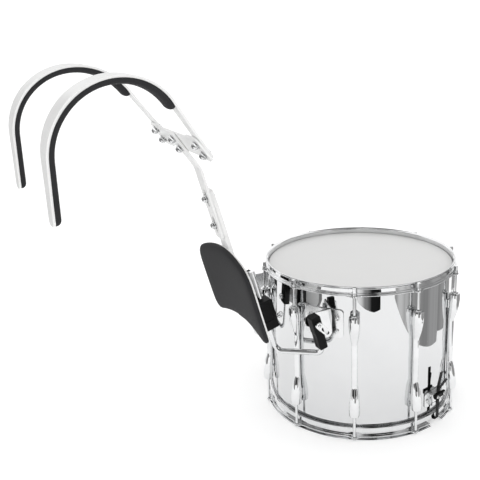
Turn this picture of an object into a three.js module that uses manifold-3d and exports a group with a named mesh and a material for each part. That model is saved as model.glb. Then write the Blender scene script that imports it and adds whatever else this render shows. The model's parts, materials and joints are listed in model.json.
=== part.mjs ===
// Marching snare drum with its shoulder carrier, in millimetres, +Z up.
// The wearer looks along +X, so the carrier lies on the -X side of the drum.
// The drum stands on the rim of its snare-side hoop, at z = 0.
import * as THREE from 'three';
import { mergeVertices } from 'three/addons/utils/BufferGeometryUtils.js';
import Module from 'manifold-3d';

const wasm = await Module();
wasm.setup();

// Clearances shared by every piece
const SEAT_GAP = 0.3;
const RUNNING_FIT = 0.4;
const OVERRUN = 3;
const MERGE_DISTANCE = 0.0001;

// Drum: a 14 inch steel shell, 11 inches between its heads
const DRUM = {
  radius: 177.8,
  wall: 1.5,
  edge: 1,
  lip: 5,
  snareHeadHeight: 13,
  batterHeadHeight: 293,
  ventRadius: 6,
  ventAngle: 108,
  segments: 50,
};
const HEAD = { film: 0.5, collarBend: 1, hoopTop: 4, hoopDepth: 6.6, hoopWidth: 2.7 };
const HOOP = { thickness: 2.1, flange: 3.8, flare: 3, earWidth: 26, earEnd: 6.8 };
const BATTER_HOOP = { rise: 11, drop: 10.3 };
const SNARE_HOOP = { rise: 13, drop: 12, gateWidth: 36, gateHeight: 12 };

// Tension rods and the bullet lugs that they pull on
const RODS = { count: 10, standOff: 11.6, radius: 2.8, sides: 6 };
const ROD_HEAD = { washerRadius: 5.2, washer: 1.4, collarRadius: 4.2, collar: 4, square: 6.2, rise: 9.6 };
const LUG = {
  bottom: 50,
  top: 252,
  face: 0.8,
  waistTop: 194,
  waistRadius: 5.8,
  collarRadius: 5.8,
  collar: 2.6,
  bulgeRadius: 10.8,
  shoulderRadius: 9.2,
  boreDepth: 22,
  rodDepth: 18,
  footWidth: 13,
  footHeight: 18,
  footInset: 14,
  sides: 8,
};
const BULGE_SHARES = [[0.18, 1], [0.52, 0.86]];

// Snare wires, their ribbons, the butt and the throw-off
const SNARE = { angle: 18, gap: 0.4, strands: 12, pitch: 3.4, strand: 1.2, margin: 21.8, endLength: 16 };
const RIBBON = { width: 10, thickness: 0.8, inset: 10, clear: 1, bend: 4 };
const TAILS = { rise: 44, lean: 8, sideLean: 34, sideRise: 22 };
const BUTT = {
  bottom: 40,
  top: 78,
  plate: 2,
  halfAngle: 8.5,
  housingHalfWidth: 15,
  housingBottom: 44,
  housingTop: 76,
  clampHalfWidth: 16,
  clampBottom: 62,
  clampTop: 74,
  clamp: 5.4,
  screwRadius: 3.2,
  screwHead: 2.2,
  screwSpread: 20.5,
};
const STRAINER = {
  bottom: 58,
  top: 124,
  plate: 2,
  halfAngle: 7,
  railGap: 13,
  rail: 4.5,
  railBottom: 61,
  railTop: 118,
  railDepth: 12,
  earDepth: 26,
  earTop: 80,
  shelf: 7,
  shelfDepth: 17,
  slideBottom: 74,
  slideTop: 104,
  clampBottom: 77,
  clampTop: 86,
  clamp: 4,
  postOffset: 8.6,
  postRadius: 2.2,
  postProud: 0.55,
  pivotHeight: 70,
  pivotReach: 21.5,
  pinRadius: 3.2,
  hubRadius: 4.8,
  leverWidth: 16,
  lever: 3.6,
  leverLength: 58,
  tab: 4.5,
  knobRadius: 7.6,
  knob: 9,
  screwRadius: 2.3,
  screwEntry: 8,
};

// Carrier brackets on the shell, each with an upright ear that holds a clamp
const BRACKET = {
  angle: 54,
  halfAngle: 11.7,
  bottom: 203,
  top: 257,
  plate: 2.6,
  ear: 4,
  earRoot: 205,
  earLength: 52,
  nose: 13,
  screwAngle: 8,
  screwLow: 217,
  screwHigh: 243,
  screwRadius: 3.8,
  screwHead: 2,
};

const SCREW_TOP_SHARE = 0.8;

// Tilted carrier frame: local x points at the drum, local z runs up the rods.
// Each clamp stands clear of the shell at an angle from -X.
const CARRIER_TILT = 15;
const CLAMP = {
  angle: 36.607,
  reach: 40.2,
  z: 230,
  width: 22,
  upperHalfDepth: 13,
  lowerHalfDepth: 10.5,
  top: 33,
  bottom: -36,
  stepHeight: -4,
  pivotHeight: 16,
  boltRadius: 3.8,
  boreTop: 6,
  corner: 4,
};
const LEVER = {
  hubRadius: 6.4,
  hub: 6,
  hubTopShare: 0.85,
  loopLength: 31,
  loopRadius: 6.4,
  slotRadius: 2.8,
  thickness: 4.6,
  angle: -60,
};
const JROD = { radius: 5, tip: 4.6, low: -50, y: 40, p: -51, top: 115, bend: 14, sides: 10, bendSteps: 4 };
const BLOCK = { depth: 41.6, halfWidth: 18, bottom: -4, top: 55, chamfer: 3.5, screwHeight: 9 };
const GUIDE = {
  thickness: 3,
  depth: 24,
  rise: 58,
  corner: 12,
  inset: 3.4,
  rivetRadius: 4.4,
  rivet: 2,
  rivetShare: 0.42,
};
const THUMB = { radius: 3, paddleRadius: 6.5, paddle: 3.2, reach: 11, collarRadius: 4.4, collar: 3 };

// Belly plate with its foam pad, and the two bars that carry the shoulder arms
const BELLY = {
  face: -71.2,
  plate: 3,
  halfWidth: 108,
  top: 163,
  cornerTop: 140,
  bottom: 19,
  cornerBottom: 0,
  corner: 22,
  bow: 8.5,
  stations: 8,
};
const BELLY_PAD = { thickness: 13, edge: 5, overhang: 1.5, sectionSteps: 8 };
const SPINE = {
  width: 30,
  thickness: 8,
  bottom: 14,
  top: 276,
  taper: 26,
  topWidth: 18,
  rivetRadius: 4.6,
  rivet: 2.4,
};
const SPINE_RIVET_SHARES = [0.12, 0.4];
const STEM = { width: 30, thickness: 4.5, bottom: 182, topMargin: 26, bend: 30, bendSteps: 4, travel: 12 };
const BOLT = {
  radius: 4,
  headRadius: 6.5,
  headTopShare: 0.72,
  head: 3,
  nutRadius: 7,
  nut: 5,
  dome: 4,
  domeFootShare: 0.82,
  domeTipShare: 0.34,
  sides: 8,
};
const STEM_BOLTS = { lower: 210, upper: 262 };

// Shoulder arms: straight front legs, an arch over the shoulder, straight back legs
const CREST_TILT = 35;
const ARM = {
  archSetBack: 325,
  archZ: 588,
  archRadius: 110,
  frontLeg: 118,
  backLeg: 92,
  thickness: 4,
  frontWidth: 24,
  crownWidth: 50,
  tipWidth: 30,
  yokeInset: 15,
  backY: 140,
  splayStart: 21.25,
  archSteps: 16,
  legSteps: 3,
};
const ARM_WIDEN_SHARES = [0.12, 0.46];
const ARM_NARROW_SHARES = [0.6, 1];
const ARM_SPLAY_SHARE = 0.72;
const ARM_BOLTS = { first: 85, second: 106.5, slideOut: 4, slideIn: 12 };
const ARM_PAD = { start: 80, thickness: 10, overhang: 1, round: 10, endWidthShare: 0.7 };
const PAD_SECTION_SHARES = [[1, 0], [1, 0.45], [0.82, 0.86], [0.4, 1]];
const YOKE = {
  thickness: 4,
  halfWidth: 111,
  lobeHalfHeight: 25,
  waistHalfHeight: 20,
  lobeWidth: 46,
  corner: 9,
};

// Finishes
const chrome = () => new THREE.MeshStandardMaterial({ color: 0xd9dbdd, metalness: 1, roughness: 0.08 });
const drumFilm = () => new THREE.MeshStandardMaterial({ color: 0xe9e9e6, metalness: 0, roughness: 0.5 });
const whiteCoat = () => new THREE.MeshStandardMaterial({ color: 0xf1f1f0, metalness: 0, roughness: 0.35 });
const blackPlastic = () => new THREE.MeshStandardMaterial({ color: 0x17181a, metalness: 0, roughness: 0.6 });
const blackFoam = () => new THREE.MeshStandardMaterial({ color: 0x26272a, metalness: 0, roughness: 0.9 });
const ribbonCloth = () => new THREE.MeshStandardMaterial({ color: 0x141415, metalness: 0, roughness: 0.8 });

const radians = (degrees) => THREE.MathUtils.degToRad(degrees);
const vector = (x, y, z) => new THREE.Vector3(x, y, z);

// Returns the signed volume of an indexed triangle mesh
function signedVolume(positions, index) {
  const corner = (k) => vector(positions[3 * k], positions[3 * k + 1], positions[3 * k + 2]);
  let total = 0;
  for (let i = 0; i < index.length; i += 3) {
    const a = corner(index[i]);
    const b = corner(index[i + 1]);
    const c = corner(index[i + 2]);
    total += a.dot(b.cross(c)) / 6;
  }
  return total;
}

// Merges shared corners, drops collapsed triangles and turns every face outwards
function closed(geometry) {
  const bare = geometry.clone();
  bare.deleteAttribute('normal');
  bare.deleteAttribute('uv');
  const merged = mergeVertices(bare, MERGE_DISTANCE);
  const positions = merged.getAttribute('position').array;
  const source = merged.getIndex().array;
  const index = [];
  for (let i = 0; i < source.length; i += 3) {
    const [a, b, c] = [source[i], source[i + 1], source[i + 2]];
    if (a !== b && b !== c && c !== a) index.push(a, b, c);
  }
  if (signedVolume(positions, index) < 0) index.reverse();
  const result = new THREE.BufferGeometry();
  result.setAttribute('position', new THREE.Float32BufferAttribute(positions, 3));
  result.setIndex(index);
  return result;
}

function toSolid(geometry) {
  const shape = closed(geometry);
  const vertProperties = new Float32Array(shape.getAttribute('position').array);
  const triVerts = new Uint32Array(shape.getIndex().array);
  return new wasm.Manifold(new wasm.Mesh({ numProp: 3, vertProperties, triVerts }));
}

function toGeometry(solid) {
  const mesh = solid.getMesh();
  const result = new THREE.BufferGeometry();
  result.setAttribute('position', new THREE.Float32BufferAttribute(mesh.vertProperties, 3));
  result.setIndex(new THREE.Uint32BufferAttribute(mesh.triVerts, 1));
  return closed(result);
}

// Joins the first list of geometries and cuts the second list from them
function carve(added, removed = []) {
  let solid = toSolid(added[0]);
  for (const geometry of added.slice(1)) solid = solid.add(toSolid(geometry));
  for (const geometry of removed) solid = solid.subtract(toSolid(geometry));
  return toGeometry(solid);
}

// Turns a profile of [radius, height] pairs about the Z axis
function revolve(profile, segments) {
  const points = profile.map(([radius, height]) => new THREE.Vector2(radius, height));
  return closed(new THREE.LatheGeometry(points, segments).rotateX(Math.PI / 2));
}

// Turns a closed profile, which stays off the axis, into a ring
function revolveRing(profile, segments) {
  return revolve([...profile, profile[0]], segments);
}

// Skins a row of rings that have the same number of corners
function loft(rings) {
  const count = rings[0].length;
  const last = (rings.length - 1) * count;
  const index = [];
  for (let i = 0; i < last; i += count) {
    for (let j = 0; j < count; j++) {
      const a = i + j;
      const b = i + ((j + 1) % count);
      index.push(a, b, b + count, a, b + count, a + count);
    }
  }
  for (let j = 1; j < count - 1; j++) {
    index.push(0, j + 1, j, last, last + j, last + j + 1);
  }
  const result = new THREE.BufferGeometry();
  const positions = rings.flat().flatMap((point) => point.toArray());
  result.setAttribute('position', new THREE.Float32BufferAttribute(positions, 3));
  result.setIndex(index);
  return closed(result);
}

function outline(points) {
  return new THREE.Shape(points.map(([x, y]) => new THREE.Vector2(x, y)));
}

// Extrudes an outline drawn in x and z along y
function slabY(shape, y0, y1, curveSegments = 6) {
  const geometry = new THREE.ExtrudeGeometry(shape, { depth: y1 - y0, bevelEnabled: false, curveSegments });
  return geometry.rotateX(Math.PI / 2).translate(0, y1, 0);
}

// Extrudes an outline drawn in y and z along x
function slabX(shape, x0, x1, curveSegments = 6) {
  const geometry = new THREE.ExtrudeGeometry(shape, { depth: x1 - x0, bevelEnabled: false, curveSegments });
  const turn = new THREE.Matrix4().makeBasis(vector(0, 1, 0), vector(0, 0, 1), vector(1, 0, 0));
  return geometry.applyMatrix4(turn).translate(x0, 0, 0);
}

// Extrudes an outline drawn in x and y up z
function slabZ(shape, z0, z1, curveSegments = 6) {
  const geometry = new THREE.ExtrudeGeometry(shape, { depth: z1 - z0, bevelEnabled: false, curveSegments });
  return geometry.translate(0, 0, z0);
}

function box(x0, x1, y0, y1, z0, z1) {
  const geometry = new THREE.BoxGeometry(x1 - x0, y1 - y0, z1 - z0);
  return geometry.translate((x0 + x1) / 2, (y0 + y1) / 2, (z0 + z1) / 2);
}

// Makes a round pin, or a cone, between two points
function pin(radius, from, to, sides = BOLT.sides, endRadius = radius) {
  const axis = to.clone().sub(from);
  const geometry = new THREE.CylinderGeometry(endRadius, radius, axis.length(), sides);
  const turn = new THREE.Quaternion().setFromUnitVectors(vector(0, 1, 0), axis.clone().normalize());
  const middle = from.clone().add(to).divideScalar(2);
  return geometry.applyQuaternion(turn).translate(middle.x, middle.y, middle.z);
}

// Rounds the inner corners of a line of points with arcs of one radius
function roundedPath(corners, radius, steps) {
  const path = [corners[0]];
  for (let i = 1; i < corners.length - 1; i++) {
    const before = corners[i].clone().sub(corners[i - 1]).normalize();
    const after = corners[i + 1].clone().sub(corners[i]).normalize();
    const angle = before.angleTo(after);
    const inward = after.clone().addScaledVector(before, -before.dot(after)).normalize();
    const start = corners[i].clone().addScaledVector(before, -radius * Math.tan(angle / 2));
    for (let k = 0; k <= steps; k++) {
      const turn = (angle * k) / steps;
      const point = start.clone().addScaledVector(before, radius * Math.sin(turn));
      path.push(point.addScaledVector(inward, radius * (1 - Math.cos(turn))));
    }
  }
  path.push(corners[corners.length - 1]);
  return path;
}

// Gives the unit direction of a path at one of its points
function tangentAt(path, i) {
  const before = path[Math.max(i - 1, 0)];
  const after = path[Math.min(i + 1, path.length - 1)];
  return after.clone().sub(before).normalize();
}

// Sweeps a round bar along a path
function roundBar(path, radius, sides) {
  let side = vector(0, 1, 0);
  const rings = path.map((point, i) => {
    const along = tangentAt(path, i);
    side = side.addScaledVector(along, -side.dot(along)).normalize();
    const up = along.clone().cross(side);
    const ring = [];
    for (let k = 0; k < sides; k++) {
      const angle = (2 * Math.PI * k) / sides;
      const corner = point.clone().addScaledVector(side, radius * Math.cos(angle));
      ring.push(corner.addScaledVector(up, radius * Math.sin(angle)));
    }
    return ring;
  });
  return loft(rings);
}

// Sweeps a flat bar, level along y, whose path may drift sideways
function flatBar(path, width, thickness) {
  const rings = path.map((point, i) => {
    const along = tangentAt(path, i);
    const face = vector(along.z, 0, -along.x).normalize().multiplyScalar(thickness / 2);
    const half = vector(0, width / 2, 0);
    return [
      point.clone().add(face).add(half),
      point.clone().sub(face).add(half),
      point.clone().sub(face).sub(half),
      point.clone().add(face).sub(half),
    ];
  });
  return loft(rings);
}

// Bends a plate round the shell: angles from local x, radii and heights given
function shellPlate(halfAngle, thickness, bottom, top, steps = 6) {
  const inner = DRUM.radius + SEAT_GAP;
  const outer = inner + thickness;
  const rings = [];
  for (let i = 0; i <= steps; i++) {
    const angle = radians(halfAngle) * ((2 * i) / steps - 1);
    const at = (radius, z) => vector(radius * Math.cos(angle), radius * Math.sin(angle), z);
    rings.push([at(inner, bottom), at(outer, bottom), at(outer, top), at(inner, top)]);
  }
  return loft(rings);
}

const smooth = (share) => THREE.MathUtils.smoothstep(share, 0, 1);
const rise = (value, [from, to]) => smooth((value - from) / (to - from));

const clampX = -(DRUM.radius + CLAMP.reach) * Math.cos(radians(CLAMP.angle));
const clampY = (DRUM.radius + CLAMP.reach) * Math.sin(radians(CLAMP.angle));

const model = new THREE.Group();
const drumGroup = new THREE.Group();
const carrierGroup = new THREE.Group();
carrierGroup.position.set(clampX, 0, CLAMP.z);
carrierGroup.rotation.y = -radians(CARRIER_TILT);
const armGroup = new THREE.Group();
model.add(drumGroup, carrierGroup, armGroup);

function addPart(parent, name, geometry, material) {
  const mesh = new THREE.Mesh(geometry, material);
  mesh.name = name;
  parent.add(mesh);
}

// A group on the drum whose local x points outwards at an angle from -Y
function stationAt(angle) {
  const station = new THREE.Group();
  station.rotation.z = radians(angle - 90);
  drumGroup.add(station);
  return station;
}

// Shell with inward-turned bearing edges and one air vent
function makeShell() {
  const bottom = DRUM.snareHeadHeight + HEAD.film + SEAT_GAP;
  const top = DRUM.batterHeadHeight - HEAD.film - SEAT_GAP;
  const { radius, wall, edge, lip } = DRUM;
  const fold = wall * Math.SQRT2;
  const upper = [
    [radius, -edge],
    [radius - edge, 0],
    [radius - lip, edge - lip],
    [radius - lip, edge - lip - fold],
    [radius - wall, edge - wall - fold],
  ];
  const profile = [
    ...upper.map(([r, h]) => [r, top + h]),
    ...upper.map(([r, h]) => [r, bottom - h]).reverse(),
  ];
  const middle = (bottom + top) / 2;
  const angle = radians(DRUM.ventAngle - 90);
  const out = vector(Math.cos(angle), Math.sin(angle), 0);
  const start = out.clone().multiplyScalar(radius - wall - OVERRUN).setZ(middle);
  const end = out.clone().multiplyScalar(radius + OVERRUN).setZ(middle);
  const vent = pin(DRUM.ventRadius, start, end);
  addPart(drumGroup, 'shell', carve([revolveRing(profile, DRUM.segments)], [vent]), chrome());
}

const rodCircle = DRUM.radius + RODS.standOff;
const collarInner = DRUM.radius + SEAT_GAP;
const collarOuter = collarInner + HEAD.film;
const fleshOuter = collarOuter + HEAD.hoopWidth;
const skirtInner = fleshOuter + SEAT_GAP;
const skirtOuter = skirtInner + HOOP.thickness;

// Drum head: film, collar and flesh hoop in one; outward is 1 for the top, -1 below
function makeHead(name, level, outward) {
  const { film, collarBend, hoopTop, hoopDepth } = HEAD;
  const profile = [
    [0, -film],
    [collarInner - collarBend, -film],
    [collarInner, -film - collarBend],
    [collarInner, -hoopTop - hoopDepth],
    [fleshOuter, -hoopTop - hoopDepth],
    [fleshOuter, -hoopTop],
    [collarOuter, -hoopTop],
    [collarOuter, -collarBend],
    [collarOuter - collarBend, 0],
    [0, 0],
  ];
  const placed = profile.map(([r, h]) => [r, level + outward * h]);
  addPart(drumGroup, name, revolve(placed, DRUM.segments), drumFilm());
}

function hoopProfile({ rise: rimRise, drop }) {
  const { thickness, flange, flare } = HOOP;
  const wallInner = collarOuter + SEAT_GAP;
  const wallOuter = wallInner + thickness;
  const ledge = SEAT_GAP - HEAD.hoopTop;
  return [
    [wallInner, ledge],
    [skirtInner, ledge],
    [skirtInner, -drop],
    [skirtOuter + flange, -drop],
    [skirtOuter + flange, thickness - drop],
    [skirtOuter, thickness - drop],
    [skirtOuter, ledge + thickness],
    [wallOuter, ledge + thickness],
    [wallOuter, rimRise - thickness - flare],
    [wallOuter + flare, rimRise - thickness],
    [wallOuter + flare, rimRise],
    [wallInner + flare, rimRise],
    [wallInner, rimRise - flare],
  ];
}

function placedAt(geometry, angle) {
  return geometry.rotateZ(radians(angle - 90));
}

const rodAngles = Array.from({ length: RODS.count }, (_, i) => (i * 360) / RODS.count);

// Triple-flanged hoop with an ear and a rod hole at every tension rod
function hoopWithEars(sizes, level, outward, cuts) {
  const placed = hoopProfile(sizes).map(([r, h]) => [r, level + outward * h]);
  const added = [revolveRing(placed, DRUM.segments)];
  const removed = [...cuts];
  const low = level - outward * sizes.drop;
  const high = low + outward * HOOP.thickness;
  const [z0, z1] = [Math.min(low, high), Math.max(low, high)];
  const root = skirtOuter - HOOP.thickness / 2;
  for (const angle of rodAngles) {
    const ear = new THREE.Shape();
    ear.moveTo(root, -HOOP.earWidth / 2);
    ear.lineTo(skirtOuter, -HOOP.earWidth / 2);
    ear.absarc(rodCircle, 0, HOOP.earEnd, -Math.PI / 3, Math.PI / 3, false);
    ear.lineTo(skirtOuter, HOOP.earWidth / 2);
    ear.lineTo(root, HOOP.earWidth / 2);
    added.push(placedAt(slabZ(ear, z0, z1, 4), angle));
    const hole = vector(rodCircle, 0, z0 - OVERRUN);
    const bore = pin(RODS.radius + RUNNING_FIT, hole, hole.clone().setZ(z1 + OVERRUN), RODS.sides);
    removed.push(placedAt(bore, angle));
  }
  return carve(added, removed);
}

function makeHoops() {
  const batter = hoopWithEars(BATTER_HOOP, DRUM.batterHeadHeight, 1, []);
  addPart(drumGroup, 'batter_hoop', batter, chrome());
  const half = SNARE_HOOP.gateWidth / 2;
  const inner = DRUM.radius - OVERRUN;
  const outer = skirtOuter + HOOP.flange + OVERRUN;
  const gates = [SNARE.angle, SNARE.angle + 180].map((angle) =>
    placedAt(box(inner, outer, -half, half, -OVERRUN, SNARE_HOOP.gateHeight), angle));
  const snareSide = hoopWithEars(SNARE_HOOP, DRUM.snareHeadHeight, -1, gates);
  addPart(drumGroup, 'snare_side_hoop', snareSide, chrome());
}

// Tension rod along z from its tip to its square head; outward points to the head
function tensionRod(seat, tip, outward) {
  const { washerRadius, washer, collarRadius, collar, square, rise: headRise } = ROD_HEAD;
  const levels = [0, washer, washer + collar].map((height) => seat + outward * height);
  const profile = [
    [0, tip],
    [RODS.radius, tip],
    [RODS.radius, levels[0]],
    [washerRadius, levels[0]],
    [washerRadius, levels[1]],
    [collarRadius, levels[1]],
    [collarRadius, levels[2]],
    [0, levels[2]],
  ];
  const foot = levels[2] - (outward * collar) / 2;
  const end = levels[2] + outward * headRise;
  const half = square / 2;
  const head = box(-half, half, -half, half, Math.min(foot, end), Math.max(foot, end));
  return carve([revolve(profile, RODS.sides), head]).translate(rodCircle, 0, 0);
}

function batterRod() {
  const seat = DRUM.batterHeadHeight - BATTER_HOOP.drop + HOOP.thickness + SEAT_GAP;
  return tensionRod(seat, LUG.top - LUG.rodDepth, 1);
}

function snareRod() {
  const seat = DRUM.snareHeadHeight + SNARE_HOOP.drop - HOOP.thickness - SEAT_GAP;
  return tensionRod(seat, LUG.bottom + LUG.rodDepth, -1);
}

// A level ring of corners for a lug
function lugRing(centre, radius, z) {
  const ring = [];
  for (let k = 0; k < LUG.sides; k++) {
    const angle = (2 * Math.PI * k) / LUG.sides;
    ring.push(vector(centre + radius * Math.cos(angle), radius * Math.sin(angle), z));
  }
  return ring;
}

// Bullet lug: two teardrop bulges on a slim tube. Its side towards the shell is straight,
// so the tube lies closer to the shell than the rods do, and each bulge has a foot there.
// The snare-side tension rod is screwed in from below and is one with it here.
function bulletLug() {
  const shoulder = LUG.top - LUG.collar;
  const onFace = (radius) => DRUM.radius + LUG.face + radius;
  const taper = shoulder - LUG.waistTop;
  const upper = [
    [rodCircle, LUG.collarRadius, LUG.top],
    [rodCircle, LUG.collarRadius, shoulder],
    [rodCircle, LUG.shoulderRadius, shoulder],
    ...BULGE_SHARES.map(([along, size]) => {
      const radius = LUG.bulgeRadius * size;
      return [onFace(radius), radius, shoulder - taper * along];
    }),
    [onFace(LUG.waistRadius), LUG.waistRadius, LUG.waistTop],
  ];
  const both = LUG.top + LUG.bottom;
  const lower = upper.map(([centre, radius, z]) => [centre, radius, both - z]).reverse();
  const body = loft([...upper, ...lower].map((ring) => lugRing(...ring)));
  const half = LUG.footWidth / 2;
  const feet = [LUG.top - LUG.footInset, LUG.bottom + LUG.footInset + LUG.footHeight].map((top) =>
    box(DRUM.radius + SEAT_GAP, rodCircle, -half, half, top - LUG.footHeight, top));
  const end = vector(rodCircle, 0, LUG.top - LUG.boreDepth);
  const bore = pin(RODS.radius + RUNNING_FIT, end, end.clone().setZ(LUG.top + OVERRUN), RODS.sides);
  return carve([body, ...feet, snareRod()], [bore]);
}

function makeLugsAndRods() {
  rodAngles.forEach((angle, i) => {
    const number = String(i + 1).padStart(2, '0');
    const station = stationAt(angle);
    addPart(station, `lug_${number}`, bulletLug(), chrome());
    addPart(station, `batter_rod_${number}`, batterRod(), chrome());
  });
}

// Snare wires: parallel strands between two end plates, just under the head
const wireTop = DRUM.snareHeadHeight - SNARE.gap;
const wireBottom = wireTop - SNARE.strand;
const ribbonLevel = wireBottom - SEAT_GAP - RIBBON.thickness / 2;
const ribbonReach = skirtOuter + HOOP.flange + RIBBON.clear + RIBBON.thickness / 2;
const wireReach = DRUM.radius - SNARE.margin;
const strandReach = wireReach - SNARE.endLength;

function makeSnareWires() {
  const halfSpan = ((SNARE.strands - 1) * SNARE.pitch) / 2;
  const halfWidth = halfSpan + SNARE.strand / 2;
  const pieces = [-1, 1].map((side) => {
    const ends = [side * strandReach, side * wireReach].sort((a, b) => a - b);
    return box(ends[0], ends[1], -halfWidth, halfWidth, wireBottom, wireTop);
  });
  const strandEnd = (strandReach + wireReach) / 2;
  for (let i = 0; i < SNARE.strands; i++) {
    const y = i * SNARE.pitch - halfSpan;
    const half = SNARE.strand / 2;
    pieces.push(box(-strandEnd, strandEnd, y - half, y + half, wireBottom, wireTop));
  }
  addPart(stationAt(SNARE.angle), 'snare_wires', carve(pieces), chrome());
}

// Ribbon from the end plate, out through the gate and up to a given height
function ribbonPath(top) {
  const start = vector(strandReach + RIBBON.inset, 0, ribbonLevel);
  const corner = vector(ribbonReach, 0, ribbonLevel);
  return roundedPath([start, corner, vector(ribbonReach, 0, top)], RIBBON.bend, 3);
}

function makeButtStrap(station) {
  const { width, thickness } = RIBBON;
  const top = BUTT.clampTop;
  const standing = flatBar([
    ...ribbonPath(top),
    vector(ribbonReach + TAILS.lean / 2, 0, top + TAILS.rise / 2),
    vector(ribbonReach + TAILS.lean, -TAILS.lean / 2, top + TAILS.rise),
  ], width, thickness);
  const leaning = flatBar([
    vector(ribbonReach, 0, top - width / 2),
    vector(ribbonReach, 0, top),
    vector(ribbonReach + TAILS.lean, TAILS.sideLean / 2, top + TAILS.sideRise / 2),
    vector(ribbonReach + 2 * TAILS.lean, TAILS.sideLean, top + TAILS.sideRise),
  ], width, thickness);
  addPart(station, 'butt_strap', carve([standing, leaning]), ribbonCloth());
}

// Screw heads on a plate that lies on the shell, at angles from local x
function plateScrews(angles, heights, plate, radius, head) {
  const screws = [];
  for (const degrees of angles) {
    const out = vector(Math.cos(radians(degrees)), Math.sin(radians(degrees)), 0);
    const start = out.clone().multiplyScalar(DRUM.radius + SEAT_GAP + plate / 2);
    const end = out.clone().multiplyScalar(DRUM.radius + SEAT_GAP + plate + head);
    for (const z of heights) {
      const [foot, top] = [start.clone().setZ(z), end.clone().setZ(z)];
      screws.push(pin(radius, foot, top, BOLT.sides, radius * SCREW_TOP_SHARE));
    }
  }
  return screws;
}

// Fixed end of the snares: a chrome housing on the shell and a clamp bar with two screws
function makeButt() {
  const station = stationAt(SNARE.angle);
  const face = ribbonReach - RIBBON.thickness / 2 - SEAT_GAP;
  const { housingHalfWidth, housingBottom, housingTop, clampHalfWidth } = BUTT;
  const plate = shellPlate(BUTT.halfAngle, BUTT.plate, BUTT.bottom, BUTT.top);
  const root = DRUM.radius + SEAT_GAP + BUTT.plate / 2;
  const housing = box(root, face, -housingHalfWidth, housingHalfWidth, housingBottom, housingTop);
  const spread = THREE.MathUtils.radToDeg(BUTT.screwSpread / DRUM.radius);
  const screwHeights = [(BUTT.bottom + BUTT.top) / 2];
  const screws = plateScrews([-spread, spread], screwHeights, BUTT.plate, BUTT.screwRadius, BUTT.screwHead);
  addPart(station, 'butt_plate', carve([plate, housing, ...screws]), chrome());
  const near = face + RIBBON.thickness + 2 * SEAT_GAP;
  const far = near + BUTT.clamp;
  const middle = (BUTT.clampBottom + BUTT.clampTop) / 2;
  const bar = box(near, far, -clampHalfWidth, clampHalfWidth, BUTT.clampBottom, BUTT.clampTop);
  const offset = (RIBBON.width / 2 + clampHalfWidth) / 2;
  const keys = [-offset, offset].flatMap((y) => [
    pin(BUTT.screwRadius, vector(far - BUTT.screwHead, y, middle), vector(far + BUTT.screwHead, y, middle)),
    pin(BUTT.screwRadius / 2, vector(face + SEAT_GAP, y, middle), vector(far, y, middle)),
  ]);
  addPart(station, 'butt_clamp', carve([bar, ...keys]), blackPlastic());
  makeButtStrap(station);
}

// Throw-off: a base with two rails, a sliding clamp, a lever and a tension knob
function makeStrainerBase(station) {
  const root = DRUM.radius + SEAT_GAP + STRAINER.plate / 2;
  const foot = DRUM.radius + SEAT_GAP;
  const { railGap, rail, railBottom, railTop, top } = STRAINER;
  const outerY = railGap + rail;
  const side = outline([
    [root, railBottom],
    [foot + STRAINER.earDepth, railBottom],
    [foot + STRAINER.earDepth, STRAINER.pivotHeight],
    [foot + STRAINER.railDepth, STRAINER.earTop],
    [foot + STRAINER.railDepth, railTop + STRAINER.shelf],
    [root, railTop + STRAINER.shelf],
  ]);
  const rails = [slabY(side, -outerY, -railGap), slabY(side, railGap, outerY)];
  const shelf = box(root, foot + STRAINER.shelfDepth, -outerY, outerY, railTop, railTop + STRAINER.shelf);
  const plate = shellPlate(STRAINER.halfAngle, STRAINER.plate, STRAINER.bottom, top);
  const pivot = vector(foot + STRAINER.pivotReach, 0, STRAINER.pivotHeight);
  const reach = outerY + OVERRUN;
  const pinEnds = [-reach, reach].map((y) => pivot.clone().setY(y));
  const pinHole = pin(STRAINER.pinRadius + RUNNING_FIT, ...pinEnds);
  const knobX = foot + STRAINER.knobRadius + RUNNING_FIT;
  const screwHole = pin(STRAINER.screwRadius + RUNNING_FIT, vector(knobX, 0, railTop - OVERRUN),
    vector(knobX, 0, railTop + STRAINER.shelf + OVERRUN));
  addPart(station, 'strainer_base', carve([plate, shelf, ...rails], [pinHole, screwHole]), chrome());
}

function makeStrainerSlide(station) {
  const foot = DRUM.radius + SEAT_GAP + STRAINER.plate + RUNNING_FIT;
  const face = ribbonReach - RIBBON.thickness / 2 - SEAT_GAP;
  const half = STRAINER.railGap - RUNNING_FIT;
  const body = box(foot, face, -half, half, STRAINER.slideBottom, STRAINER.slideTop);
  const near = face + RIBBON.thickness + 2 * SEAT_GAP;
  const far = near + STRAINER.clamp;
  const bar = box(near, far, -half, half, STRAINER.clampBottom, STRAINER.clampTop);
  const middle = (STRAINER.clampBottom + STRAINER.clampTop) / 2;
  const posts = [-1, 1].map((side) => {
    const y = side * STRAINER.postOffset;
    const ends = [face - OVERRUN, far + STRAINER.postProud].map((x) => vector(x, y, middle));
    return pin(STRAINER.postRadius, ...ends);
  });
  const knobX = DRUM.radius + SEAT_GAP + STRAINER.knobRadius + RUNNING_FIT;
  const depth = STRAINER.slideTop - STRAINER.screwEntry - RUNNING_FIT;
  const mouth = vector(knobX, 0, STRAINER.slideTop + OVERRUN);
  const bore = pin(STRAINER.screwRadius + RUNNING_FIT, vector(knobX, 0, depth), mouth);
  addPart(station, 'strainer_slide', carve([body, bar, ...posts], [bore]), chrome());
}

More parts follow.
